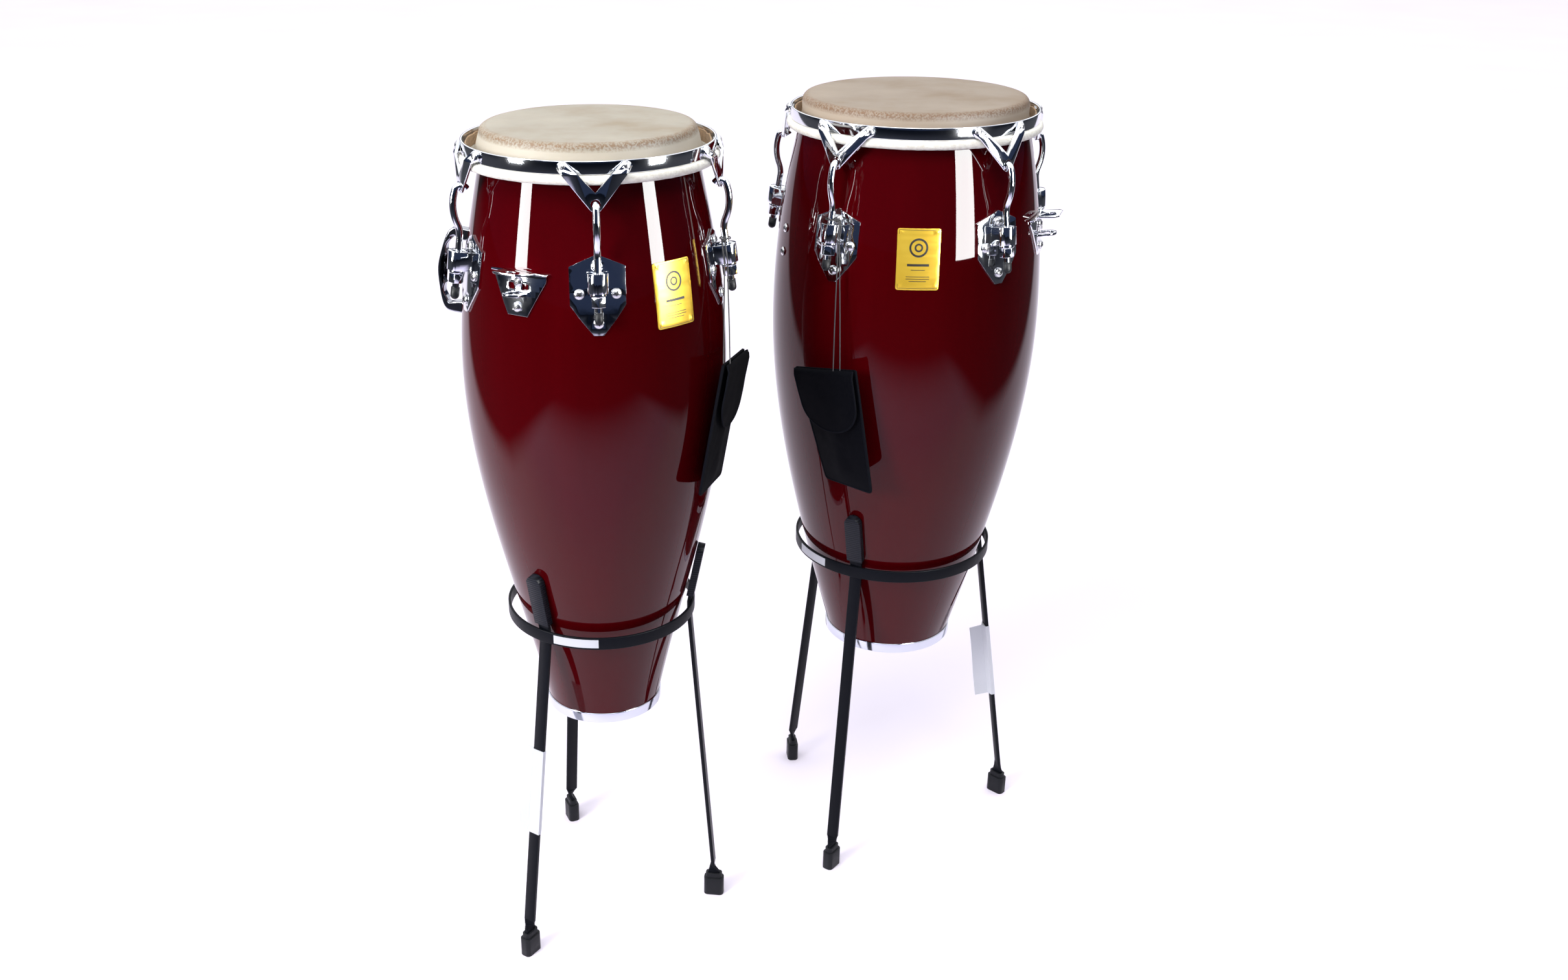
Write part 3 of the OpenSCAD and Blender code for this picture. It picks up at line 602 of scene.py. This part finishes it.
def knot_place(drum):
    """Centre of the cord's knot beside the rod, in the drum's frame."""
    r = barrel_r(drum) - (KNOT_Z - LUG_Z) * math.tan(math.radians(ROD_TILT))
    return facing(drum.lug_az + drum.pouch_lug * LUG_STEP) @ Vector((r, drum.knot_side, KNOT_Z))


def knot_point(a):
    """Point of a trefoil knot about its own middle."""
    r = KNOT_R + KNOT_SWING * math.cos(3 * a)
    return Vector((r * math.cos(2 * a), r * math.sin(2 * a), KNOT_RISE * math.sin(3 * a)))


def pouch_cord(drum):
    """Two strands from the pouch, joined round the rod, with a knot."""
    name = drum.name
    axis = ORIGIN[name]
    shift = Vector((PAIR_SHIFT[0], PAIR_SHIFT[1], 0))
    route = smooth_route([Vector(p) + shift for p in CORD_ROUTE[name]], ROUTE_STEPS)
    cord = tube(f"{name}_hanging_cord", [route], CORD_R, MAT["cord"], sides=3)
    middle = knot_place(drum)
    path = [middle + knot_point(math.radians(360 / KNOT_POINTS * k)) for k in range(KNOT_POINTS)]
    knot = tube(f"{name}_knot", [path], KNOT_CORD_R, MAT["cord"], axis, closed=True, sides=3)
    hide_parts(f"{name}_pouch_cord")
    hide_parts(f"{name}_cord_knot")
    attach(cord, f"{name}_tool_pouch")
    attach(knot, f"{name}_tool_pouch")


# ---------------------------------------------------------------- the drum

def outline(drum, offset, z0, z1, step=10):
    count = round((z1 - z0) / step)
    return [(shell_r(drum, z0 + (z1 - z0) * k / count) + offset, z0 + (z1 - z0) * k / count)
            for k in range(count + 1)]


def shell(drum):
    """Staved shell: lacquered outside, bare wood inside, with a rounded bearing edge."""
    edge = 4
    outer = outline(drum, 0, 0, SHELL_H - 12)
    top = arc(drum.top_r - edge, SHELL_H - edge, edge, 10, 90, 5)
    inner = outline(drum, -WALL_T, 0, SHELL_H)[::-1]
    profile = outer + top + inner
    made = lathe(f"{drum.name}_staved_shell", profile, [MAT["lacquer"], MAT["wood"]],
                 ORIGIN[drum.name], 256, inner_from=len(outer) + 3)
    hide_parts(f"{drum.name}_shell")
    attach(made, f"{drum.name}_drum")


def bands(drum):
    """Chrome band round the lower edge and the chrome rim."""
    name = drum.name
    foot = drum.base_r
    r = shell_r(drum, BAND_H)
    lower = arc(r + 0.4, -0.6, 0.9, -90, 0, 4)
    upper = arc(r + 0.3, BAND_H - 1, 1, 0, 90, 4)
    profile = ([(foot - 6, -1.5)] + lower + upper
               + [(r + 0.05, BAND_H), (foot + 0.1, -0.05), (foot - 6, -0.05)])
    band = lathe(f"{name}_foot_band", profile, MAT["band_chrome"], ORIGIN[name], 256)
    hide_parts(f"{name}_base_band")
    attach(band, f"{name}_drum")
    strip = box_outline(drum.rim_r - RIM_T, drum.rim_r, RIM_TOP - RIM_H, RIM_TOP, 1.0)
    rim = lathe(f"{name}_rim_strip", strip, MAT["chrome"], ORIGIN[name], 256)
    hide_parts(f"{name}_rim")
    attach(rim, f"{name}_collar")


def rough(r, z, azimuth, scale, seed):
    """Smooth noise round a ring, from about -1 to 1."""
    p = polar(r, azimuth, z) * scale
    return noise.noise(Vector((p.x + seed, p.y, p.z)))


def head(drum):
    """Rawhide: crown and collar, roll round the flesh hoop, and the ragged cut edge in the rim."""
    name = drum.name
    crown, collar = drum.crown_r + 2.5, drum.collar_r - 3
    top = SHELL_H + 0.3 + SKIN_T
    edge = 8
    hoop = drum.rim_r - 1
    hoop_z = RIM_TOP - RIM_H - ROLL_R - 0.2
    bulge = 0.35
    dome = [(crown * k / 8, top + bulge * (1 - (k / 8) ** 2)) for k in range(7)]
    upper = (dome
             + arc(crown - edge, top - edge, edge, 88, 8, 9)
             + [(crown + (collar - crown) * 0.4, top - 14), (collar - 1.5, top - 22),
                (collar + 0.6, top - 30), (hoop - ROLL_R + 1, hoop_z - 1)])
    under = [(hoop - ROLL_R + 0.5, hoop_z - 3), (collar - SKIN_T, top - 28),
             (crown + (collar - crown) * 0.4 - SKIN_T, top - 15), (crown - SKIN_T, top - edge - 4),
             (crown - edge, top - SKIN_T), (0, top - SKIN_T)]
    def hide(r, z, azimuth):
        lift = 0.22 * rough(r, z, azimuth, 0.018, 3) if z > top - 2 else 0
        out = 0.5 * rough(r, z, azimuth, 0.035, 9) if z < top - 6 and r > crown - 2 else 0
        return r + out, z + lift
    skin = disc(f"{name}_skin", (upper + under)[::-1], MAT[f"{name}_hide"], ORIGIN[name], 224, hide)
    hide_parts(f"{name}_head")
    def lumpy(r, z, azimuth):
        grow = 1 + 0.05 * rough(r, z, azimuth, 0.09, 21) + 0.03 * rough(r, z, azimuth, 0.3, 5)
        return hoop + (r - hoop) * grow, hoop_z + (z - hoop_z) * grow
    roll = lathe(f"{name}_hide_roll", arc(hoop, hoop_z, ROLL_R - 0.1, 0, 345, 23), MAT["roll"],
                 ORIGIN[name], 256, lumpy)
    low = (hoop - 5.4, hoop_z + 3)
    high = (drum.rim_r - RIM_T - 2.2, RIM_TOP - 4)
    rim_edge = [low, (low[0] + 2, low[1]), high, (high[0] - 0.8, high[1] + 0.8),
                (high[0] - 1.9, high[1])]
    def ragged(r, z, azimuth):
        if z > low[1] + 4:
            z += 2.2 * rough(r, z, azimuth, 0.07, 40) - 0.8
            r += 0.7 * rough(r, z, azimuth, 0.12, 60) - 0.3
        return r, z
    cut = lathe(f"{name}_cut_hide_edge", rim_edge, MAT["cut_edge"], ORIGIN[name], 288, ragged)
    for made in (skin, roll, cut):
        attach(made, f"{name}_collar")


ROD_END = -37
ROD_TOP = 28
HOOK_TURN = (29.5, 57.4, 8)
HOOK_LEAN = (-ROD_TILT, 22, -20, -150)


def hook_path(drum):
    """Centreline of a tension hook in the drum's radial plane, as (radius, height)."""
    def way(a):
        return np.array((math.cos(math.radians(a)), -math.sin(math.radians(a))))
    tilt = math.radians(ROD_TILT)
    low = np.array((barrel_r(drum) - ROD_END * math.sin(tilt), LUG_Z + ROD_END * math.cos(tilt)))
    start = np.array((barrel_r(drum) - ROD_TOP * math.sin(tilt), LUG_Z + ROD_TOP * math.cos(tilt)))
    c1 = start + HOOK_TURN[0] * way(HOOK_LEAN[0])
    c2 = c1 - (HOOK_TURN[0] + HOOK_TURN[1]) * way(HOOK_LEAN[1])
    c3 = c2 + (HOOK_TURN[1] - HOOK_TURN[2]) * way(HOOK_LEAN[2])
    path = [low, start]
    path += arc(*c1, HOOK_TURN[0], 180 - HOOK_LEAN[0], 180 - HOOK_LEAN[1], 12)[1:]
    path += arc(*c2, HOOK_TURN[1], -HOOK_LEAN[1], -HOOK_LEAN[2], 14)[1:]
    path += arc(*c3, HOOK_TURN[2], -HOOK_LEAN[2], -HOOK_LEAN[3], 16)[1:]
    return path


def tension_hooks(drum):
    name = drum.name
    flat = hook_path(drum)
    paths = [[facing(drum.lug_az + k * LUG_STEP) @ Vector((r, 0, z)) for r, z in flat]
             for k in range(LUG_COUNT)]
    made = tube(f"{name}_hook_rods", paths, ROD_R, MAT["chrome"], ORIGIN[name], sides=7)
    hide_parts(f"{name}_tension_hooks")
    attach(made, f"{name}_collar")


PLATE_BOLTS = ((15, 0), (-17, -21.5), (-17, 21.5), (-51, 0))
PLATE_LIFT = 2.62
HANDLE_PAD = 7.2
BRACKET_Z = 651
PLUG_Z = 615
BOLT_TOP = 0.45 + 3.4
SLOT_LONG = 2.9
SLOT_THIN = 0.55


def bolt_matrices(drum):
    """Places of all bolt heads' tops, in the drum's frame."""
    places = [(drum.lug_az + k * LUG_STEP, LUG_Z + z, side, PLATE_LIFT)
              for k in range(LUG_COUNT) for z, side in PLATE_BOLTS]
    places += [(drum.bracket_az, BRACKET_Z + z, 0, PLATE_LIFT) for z in (-9, -38)]
    places += [(drum.handle_az, HANDLE_Z + z, 0, HANDLE_PAD) for z in (48, -48)]
    places += [(drum.plug_az, PLUG_Z + z, 0, 0) for z in (16, -16)]
    return [on_shell(drum, a, z, side, under + BOLT_TOP) for a, z, side, under in places]


BOX_FACES = ((4, 5, 6, 7), (3, 2, 1, 0), (0, 1, 5, 4), (1, 2, 6, 5), (2, 3, 7, 6), (3, 0, 4, 7))


def painted_slot_shade(drum):
    """Thin black crosses set into the bolt heads' tops: painted shade standing in for the dark
    inside the slots.
    """
    verts, faces = [], []
    for n, place in enumerate(bolt_matrices(drum)):
        spin = Matrix.Rotation(math.radians(37 * n), 4, "X")
        for half_y, half_z in ((SLOT_LONG, SLOT_THIN), (SLOT_THIN, SLOT_LONG)):
            first = len(verts)
            for x in (-0.5, 0.06):
                for sy, sz in ((-1, -1), (1, -1), (1, 1), (-1, 1)):
                    verts.append(place @ spin @ Vector((x, sy * half_y, sz * half_z)))
            faces += [tuple(first + i for i in face) for face in BOX_FACES]
    # The etched-black material here paints the slots' shade.
    made = piece(f"{drum.name}_screw_slots", verts, faces, MAT["ink"], ORIGIN[drum.name])
    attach(made, f"{drum.name}_drum")


HANDLE_Z = 606
HANDLE_W = 14
HANDLE_EDGE = 2.2
HANDLE_UPPER = [(0.6, 56), (20, 56), (28, 53.5), (33.5, 45), (38.5, 27)]
HANDLE_ARM = [(27, 43.5), (24, 45), (14, 41.5), (0.6, 40)]
GRIP_HALF = 41
GRIP_PITCH = 20
GRIP_T = 5
GRIP_CUSP = 3.5


def handle_outline():
    """Outline of the handle in the drum's radial plane: a C with finger scallops inside."""
    route = HANDLE_UPPER + [(42.5, 0)] + [(x, -z) for x, z in HANDLE_UPPER[::-1]]
    outer = [(p.x, p.z) for p in smooth_route([(x, 0, z) for x, z in route], 6)]
    upper = [(z, x) for x, z in outer if z >= 0][::-1]
    levels = [z for z, x in upper]
    reach = [x for z, x in upper]
    grip = []
    for z in np.linspace(-GRIP_HALF, GRIP_HALF, 83):
        cusp = 1 - abs(math.sin(math.pi * z / GRIP_PITCH))
        grip.append((np.interp(abs(z), levels, reach) - GRIP_T - GRIP_CUSP * cusp, z))
    return outer + [(x, -z) for x, z in HANDLE_ARM[::-1]] + grip + HANDLE_ARM


def inset(points, depth):
    """Closed clockwise outline moved inwards at each point."""
    moved = []
    for k, (x, z) in enumerate(points):
        before, after = points[k - 1], points[(k + 1) % len(points)]
        along = Vector((after[0] - before[0], after[1] - before[1])).normalized()
        moved.append((x + depth * along.y, z - depth * along.x))
    return moved


def handle(drum):
    """Cast carrying handle with rounded edges."""
    outline_xz = handle_outline()
    steps = (0, 18, 36, 54, 72, 90)
    layers = [(HANDLE_EDGE * (1 - math.cos(math.radians(a))),
               HANDLE_W / 2 - HANDLE_EDGE * (1 - math.sin(math.radians(a)))) for a in steps]
    layers = [(depth, -y) for depth, y in layers[::-1]] + layers
    place = on_shell(drum, drum.handle_az, HANDLE_Z)
    verts = [place @ Vector((x, y, z)) for depth, y in layers for x, z in inset(outline_xz, depth)]
    count = len(outline_xz)
    last = (len(layers) - 1) * count
    faces = grid_faces(len(layers), count, wrap_cols=True)
    faces += [tuple(range(count))[::-1], tuple(last + k for k in range(count))]
    made = piece(f"{drum.name}_cast_handle", verts, faces, MAT["dark_chrome"], ORIGIN[drum.name])
    made.modifiers.new("normals", "WEIGHTED_NORMAL").keep_sharp = True
    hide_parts(f"{drum.name}_carry_handle")
    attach(made, f"{drum.name}_drum")


BADGE_Z = 623
BADGE_W = 55
BADGE_H = 79
BADGE_TOP = 1.2
PRINT_TOP = 1.45
FRAME_INSET = 2.2
FRAME_HALF = 0.22
RING_Y = 15


def on_badge(drum, x, y, lift):
    """Point over the badge: x sideways and y up from its middle, lift above the shell."""
    z = BADGE_Z + y
    r = shell_r(drum, z) + lift
    return polar(r, drum.badge_az + math.degrees(x / r), z)


def badge_strip(drum, centre, half, verts, faces):
    """Raised flat bar on the badge."""
    cx, cy = centre
    hx, hy = half
    steps = max(1, round(hx / 3))
    first = len(verts)
    for k in range(steps + 1):
        x = cx - hx + 2 * hx * k / steps
        for y, lift in ((cy - hy, BADGE_TOP), (cy - hy, PRINT_TOP),
                        (cy + hy, PRINT_TOP), (cy + hy, BADGE_TOP)):
            verts.append(on_badge(drum, x, y, lift))
    faces += [tuple(first + i for i in f) for f in grid_faces(steps + 1, 4, wrap_cols=True)]
    end = first + 4 * steps
    faces += [(first + 3, first + 2, first + 1, first), (end, end + 1, end + 2, end + 3)]


def badge_print(drum):
    """Plain decoration of the name plate: frame lines, a ring with a dot, and rules."""
    verts, faces = [], []
    w = BADGE_W / 2 - FRAME_INSET
    h = BADGE_H / 2 - FRAME_INSET
    for y in (-h, h):
        badge_strip(drum, (0, y), (w, FRAME_HALF), verts, faces)
    for x in (-w, w):
        badge_strip(drum, (x, 0), (FRAME_HALF, h), verts, faces)
    for y, half in ((-7, 14), (-13.5, 9), (-22, 15), (-25, 15), (-28, 11)):
        badge_strip(drum, (0, y), (half, 1.5 if y > -10 else 0.35), verts, faces)
    steps = 48
    for r0, r1 in ((9.5, 12), (3.2, 5.4)):
        first = len(verts)
        for k in range(steps):
            a = 2 * math.pi * k / steps
            for r, lift in ((r0, BADGE_TOP), (r0, PRINT_TOP), (r1, PRINT_TOP), (r1, BADGE_TOP)):
                verts.append(on_badge(drum, r * math.cos(a), RING_Y + r * math.sin(a), lift))
        ring = grid_faces(steps, 4, wrap_rows=True, wrap_cols=True)
        faces += [tuple(first + i for i in f) for f in ring]
    made = piece(f"{drum.name}_badge_pattern", verts, faces, MAT["ink"], ORIGIN[drum.name])
    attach(made, f"{drum.name}_drum")


# ---------------------------------------------------------------- the pouch

def pouch_matrix(drum):
    """Middle of the pouch's top edge: +X outwards through its thickness, +Z up."""
    return (facing(drum.pouch_az) @ Matrix.Translation((drum.pouch_top_r, 0, drum.pouch_top_z))
            @ Matrix.Rotation(math.radians(drum.pouch_yaw), 4, "Z")
            @ Matrix.Rotation(math.radians(drum.pouch_roll), 4, "X")
            @ Matrix.Rotation(math.radians(drum.pouch_lean), 4, "Y"))


def pouch_point(drum, x, y, z):
    """Point of the pouch in the drum's frame, with the cloth's twist from top to bottom."""
    twist = drum.pouch_twist * (0.5 + z / POUCH_H)
    return pouch_matrix(drum) @ Matrix.Rotation(math.radians(twist), 4, "Z") @ Vector((x, y, z))


EDGE_X = -2.5
EDGE_T = 1.3
CORNER = 5
FLAP_HALF = POUCH_W / 2 - 1
TONGUE = 40
STRAIGHT = FLAP_H - TONGUE
CLOTH_T = 1.5
BAG_TAPE_R = 2.0
FLAP_TAPE_R = 1.35


def grid_border(rows, cols):
    """Indices round the edge of a grid of points stored row by row."""
    return ([j for j in range(cols)] + [i * cols + cols - 1 for i in range(1, rows)]
            + [(rows - 1) * cols + j for j in range(cols - 2, -1, -1)]
            + [i * cols for i in range(rows - 2, 0, -1)])


def pouch_face(drum, u, v, front):
    """Point of the pouch's front or back: u from -1 to 1 across, v from 0 to 1 down."""
    y = u * POUCH_W / 2
    z = -v * POUCH_H
    across = max(0.0, 1 - abs(u) ** 3.2)
    along = max(0.0, 1 - abs(2 * v - 1) ** 6)
    tool = math.exp(-((u - 0.12 + 0.25 * v) / 0.34) ** 2) * (1 - 0.25 * v)
    swell = across * along * (2.2 + 3.0 * tool)
    crease = 0.8 * noise.noise(Vector((y * 0.035, z * 0.03, 7)))
    crease += 0.35 * noise.noise(Vector((y * 0.11, z * 0.09, 2)))
    x = EDGE_X + (EDGE_T + swell + crease * across * along if front else -EDGE_T - 0.75 * swell)
    return pouch_point(drum, x, y, z)


def pouch_body(drum):
    """Soft bag: swollen panels that meet in bound edges, with the tool's shape inside."""
    cols, rows = 33, 57
    verts = []
    for front in (True, False):
        for i in range(rows):
            for j in range(cols):
                verts.append(pouch_face(drum, 2 * j / (cols - 1) - 1, i / (rows - 1), front))
    back = rows * cols
    faces = [f[::-1] for f in grid_faces(rows, cols)]
    faces += [tuple(back + i for i in f) for f in grid_faces(rows, cols)]
    border = grid_border(rows, cols)
    for a, b in zip(border, border[1:] + border[:1]):
        faces.append((a, b, back + b, back + a))
    return piece(f"{drum.name}_pouch_bag", verts, faces, MAT["nylon"], ORIGIN[drum.name], 60)


def flap_outline():
    """Flap's edge as (across, down), from its left end round the tongue to its right end."""
    side = [(-FLAP_HALF, z) for z in np.linspace(0, STRAIGHT, 7)]
    tongue = [(-FLAP_HALF * math.cos(t), STRAIGHT + TONGUE * math.sin(t) ** 0.9)
              for t in np.linspace(0, math.pi, 33)[1:-1]]
    return side + tongue + [(-y, z) for y, z in side[::-1]]


def flap_point(drum, y, down, lift):
    """Point of the flap; it wraps over the top edge and lies on the bag's front."""
    across = max(0.0, 1 - abs(y / (POUCH_W / 2)) ** 4)
    x = 5.2 + 1.6 * across * math.sin(min(1.0, down / FLAP_H) * math.pi * 0.8) + lift
    x += 0.5 * noise.noise(Vector((y * 0.05, down * 0.05, 11)))
    over = max(0.0, 1 - down / 5)
    return pouch_point(drum, x - 3.6 * over ** 2, y, -down - 0.2 + 0.4 * over)


def pouch_flap(drum):
    """Flap: one cloth with thickness, narrowing to a round tongue."""
    rows, cols = 34, 25
    verts = []
    for lift in (0, CLOTH_T):
        for i in range(rows):
            down = FLAP_H * i / (rows - 1)
            width = FLAP_HALF
            if down > STRAIGHT:
                t = math.asin(min(1.0, ((down - STRAIGHT) / TONGUE) ** (1 / 0.9)))
                width = FLAP_HALF * max(0.02, math.cos(t))
            for j in range(cols):
                verts.append(flap_point(drum, width * (2 * j / (cols - 1) - 1), down, lift))
    outer = rows * cols
    faces = list(grid_faces(rows, cols))
    faces += [tuple(outer + i for i in f[::-1]) for f in grid_faces(rows, cols)]
    border = grid_border(rows, cols)
    for a, b in zip(border, border[1:] + border[:1]):
        faces.append((b, a, outer + a, outer + b))
    return piece(f"{drum.name}_flap_cloth", verts, faces, MAT["nylon"], ORIGIN[drum.name], 50)


def bindings(drum):
    """Tape round the bag's sides and bottom, and round the flap's edge."""
    half = POUCH_W / 2
    sides = [(-half, z) for z in np.linspace(-1, -POUCH_H + CORNER, 22)]
    bottom = [(y, -POUCH_H) for y in np.linspace(-half + CORNER, half - CORNER, 12)]
    corner = [(-half + CORNER - CORNER * math.cos(t), -POUCH_H + CORNER - CORNER * math.sin(t))
              for t in (0.4, 0.8, 1.2)]
    left = sides + corner
    outline_yz = left + bottom + [(-y, z) for y, z in left[::-1]]
    seam = [pouch_point(drum, EDGE_X, y, z) for y, z in outline_yz]
    bag = tube(f"{drum.name}_bag_binding", [seam], BAG_TAPE_R, MAT["binding"],
               ORIGIN[drum.name], sides=3)
    edge = [flap_point(drum, y, z, 0.8) for y, z in flap_outline()]
    flap = tube(f"{drum.name}_flap_binding", [edge], FLAP_TAPE_R, MAT["binding"],
                ORIGIN[drum.name], sides=3)
    return bag, flap


def pouch(drum):
    name = drum.name
    bag = pouch_body(drum)
    flap = pouch_flap(drum)
    bag_tape, flap_tape = bindings(drum)
    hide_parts(f"{name}_pouch")
    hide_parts(f"{name}_pouch_flap")
    for made in (bag, bag_tape):
        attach(made, f"{name}_tool_pouch")
    for made in (flap, flap_tape):
        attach(made, f"{name}_flap")


# ---------------------------------------------------------------- the stand

LABEL_HALF = 31


def stand(drum):
    """Ring of the basket stand and the blank labels; the bars, sleeves and feet are CAD."""
    name = drum.name
    axis = Vector((ORIGIN[name].x, ORIGIN[name].y, 0))
    low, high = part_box(f"{name}_stand_ring")
    z0, z1 = low.z / MM, high.z / MM
    ring = lathe(f"{name}_basket_ring", box_outline(drum.ring_r - RING_T, drum.ring_r, z0, z1, 0.9),
                 MAT["paint"], axis, 224)
    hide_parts(f"{name}_stand_ring")
    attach(ring, f"{name}_basket_stand")
    label = curved_label(f"{name}_ring_label", drum.ring_r + 0.15, drum.ring_label_az,
                         LABEL_HALF, (z0 + 3, z1 - 2), axis)
    tag = leg_tag(drum, axis)
    for made in (label, tag):
        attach(made, f"{name}_basket_stand")


LEG_W = 17
LEG_T = 5
ANKLE_Z = 54
KNEE_Z = 136
TAG_Z = (190, 315)
TAG_FLAG = 18


def leg_matrix(drum, k, z):
    """Middle of a leg's bar at a height above the floor, with +X outwards and +Z up the bar."""
    foot = drum.foot_r[k] - 3
    knee = drum.ring_r - RING_T - LEG_T / 2 - 0.05
    lean = math.atan2(foot - knee, BASE_Z + KNEE_Z - ANKLE_Z)
    r = foot - (z - ANKLE_Z) * math.tan(lean)
    return facing(drum.leg_az[k]) @ Matrix.Translation((r, 0, z)) @ Matrix.Rotation(-lean, 4, "Y")


def leg_tag(drum, axis):
    """Blank paper tag folded round a leg, with its stuck ends standing off to one side."""
    x, y = LEG_T / 2 + 0.35, LEG_W / 2 + 0.35
    sx, sy = drum.tag_side
    if sy:
        end = sy * (y + TAG_FLAG)
        section = [(x, -sy * y), (x, sy * y), (0.35, sy * (y + 3)), (0.35, end), (-0.35, end),
                   (-0.35, sy * (y + 3)), (-x, sy * y), (-x, -sy * y)]
    else:
        end = sx * (x + TAG_FLAG + 6)
        section = [(-sx * x, y), (sx * x, y), (sx * (x + 4), 0.35), (end, 0.35), (end, -0.35),
                   (sx * (x + 4), -0.35), (sx * x, -y), (-sx * x, -y)]
    rows = 24
    verts = []
    for i in range(rows):
        t = i / (rows - 1)
        place = leg_matrix(drum, drum.tag_leg, TAG_Z[0] + (TAG_Z[1] - TAG_Z[0]) * t)
        for px, py in section:
            out = max(abs(px) - x, abs(py) - y, 0.0)
            wave = 0.10 * out * math.sin(5.2 * t + 0.6)
            verts.append(place @ Vector((px + wave * abs(sy), py + wave * abs(sx), 0)))
    n = len(section)
    faces = grid_faces(rows, n, wrap_cols=True)
    faces += [tuple(range(n))[::-1], tuple((rows - 1) * n + i for i in range(n))]
    return piece(f"{drum.name}_leg_tag", verts, faces, MAT["paper"], axis, 25)


def curved_label(name, r, azimuth, half_width, heights, axis):
    """Thin paper label on a ring."""
    steps = 16
    low, high = heights
    span = math.degrees(half_width / r)
    verts = []
    for k in range(steps + 1):
        a = azimuth - span + 2 * span * k / steps
        for radius, z in ((r, low), (r + 0.25, low), (r + 0.25, high), (r, high)):
            verts.append(polar(radius, a, z))
    faces = grid_faces(steps + 1, 4, wrap_cols=True)
    faces += [(3, 2, 1, 0), tuple(4 * steps + i for i in range(4))]
    return piece(name, verts, faces, MAT["paper"], axis)


# ---------------------------------------------------------------- everything together

CAD_FINISH = {
    "rim_claws": ("chrome", 0.5),
    "claw_rivets": ("steel", 0),
    "hook_tips": ("rubber", 0),
    "side_plates": ("chrome", 0.5),
    "shell_bolts": ("steel", 0),
    "backing_plates": ("steel", 0),
    "lug_washers": ("chrome", 0.4),
    "mount_bracket": ("chrome", 0.5),
    "badge": ("gold", 0.2),
    "stand_legs": ("paint", 0.9),
    "leg_sleeves": ("sleeve", 1.6),
    "leg_feet": ("rubber", 2.6),
    "flesh_hoop": ("steel", 0),
    **{f"lug_nut_{k}": ("chrome", 0.5) for k in range(1, LUG_COUNT + 1)},
}


def build(drum):
    shell(drum)
    bands(drum)
    head(drum)
    tension_hooks(drum)
    painted_slot_shade(drum)
    handle(drum)
    badge_print(drum)
    pouch(drum)
    stand(drum)
    for part, (material, bevel) in CAD_FINISH.items():
        finish_cad(f"{drum.name}_{part}", material, bevel)


for each_drum in DRUMS:
    pouch_cord(each_drum)
for each_drum in DRUMS:
    build(each_drum)


# ---------------------------------------------------------------- floor and light

PAPER_HALF = 1.35
PAPER_SPREAD = 0.55
PAPER_FRONT = -1.1
PAPER_FADE = 1.4
FLOOR_REACH = 30


def floor():
    """White paper floor, wider towards the back, that fades into a dark one in front and beside."""
    s = Shader("paper_floor", Roughness=0.75)
    cloud = s.ramp(s.noise(1.5, 3), ((0.3, (0.88, 0.82, 0.93)), (0.7, (0.91, 0.85, 0.96))))
    place = s.node("ShaderNodeSeparateXYZ", Vector=s.coords())
    depth = place.outputs["Y"]
    near = s.node("ShaderNodeMapRange", Value=depth, From_Min=-0.6, From_Max=-1.0).outputs["Result"]
    cloud = s.mix(near, cloud, (0.76, 0.70, 0.92))
    behind = s.math("MAXIMUM", s.math("ADD", depth, 0.4), 0.0)
    half = s.math("ADD", s.math("MULTIPLY", behind, PAPER_SPREAD), PAPER_HALF)
    beside = s.math("SUBTRACT", s.math("ABSOLUTE", place.outputs["X"]), half)
    beside = s.math("MULTIPLY", s.math("MAXIMUM", beside, 0.0), 3.0)
    before = s.math("MAXIMUM", s.math("SUBTRACT", PAPER_FRONT, depth), 0.0)
    squares = s.math("ADD", s.math("MULTIPLY", beside, beside), s.math("MULTIPLY", before, before))
    away = s.math("SQRT", squares)
    edge = s.node("ShaderNodeMapRange", Value=away, From_Min=0.0, From_Max=PAPER_FADE)
    edge.interpolation_type = "SMOOTHSTEP"
    s.set("Base Color", s.mix(edge.outputs["Result"], cloud, (0.010, 0.012, 0.020)))
    reach = FLOOR_REACH / MM
    corners = [(-reach, -reach, 0), (reach, -reach, 0), (reach, reach, 0), (-reach, reach, 0)]
    made = piece("floor", corners, [(0, 1, 2, 3)], s.mat)


def area_light(name, place, target, size, radiance, matt=True, gloss=True):
    """Soft box at a place, facing a target, with a given radiance.

    Without matt it shows in reflections only; without gloss it lights matt surfaces only.
    """
    data = bpy.data.lights.new(name, "AREA")
    data.shape = "RECTANGLE"
    data.size, data.size_y = size
    data.energy = radiance * math.pi * size[0] * size[1]
    made = bpy.data.objects.new(name, data)
    made.location = place
    made.rotation_euler = (Vector(target) - Vector(place)).to_track_quat("-Z", "Y").to_euler()
    made.visible_camera = False
    made.visible_diffuse = matt
    made.visible_glossy = gloss
    bpy.context.scene.collection.objects.link(made)
    return made


def lights():
    area_light("overhead_panel", (0, 9.0, 4.5), (0, 9.0, 0), (26, 23), 1.32)
    area_light("front_fill", (-0.5, -2.4, 3.8), (0, 0, 0.5), (3.4, 1.6), 5.5)
    area_light("right_strip", (0.80, -0.66, 1.35), (0, 0, 1.35), (0.27, 0.90), 55.0, matt=False)
    area_light("left_strip", (-1.339, -0.788, 1.65), (-0.2, -0.1, 1.65), (0.27, 1.4), 55.0,
               matt=False)
    area_light("left_key", (-2.2, -2.1, 1.9), (0, 0, 0.9), (0.9, 1.2), 24.0, gloss=False)
    world = bpy.data.worlds.new("world")
    world.use_nodes = True
    world.node_tree.nodes["Background"].inputs["Color"].default_value = (0.35, 0.50, 1.0, 1)
    world.node_tree.nodes["Background"].inputs["Strength"].default_value = 0.07
    bpy.context.scene.world = world


floor()
lights()
bpy.context.scene.view_settings.view_transform = "Standard"
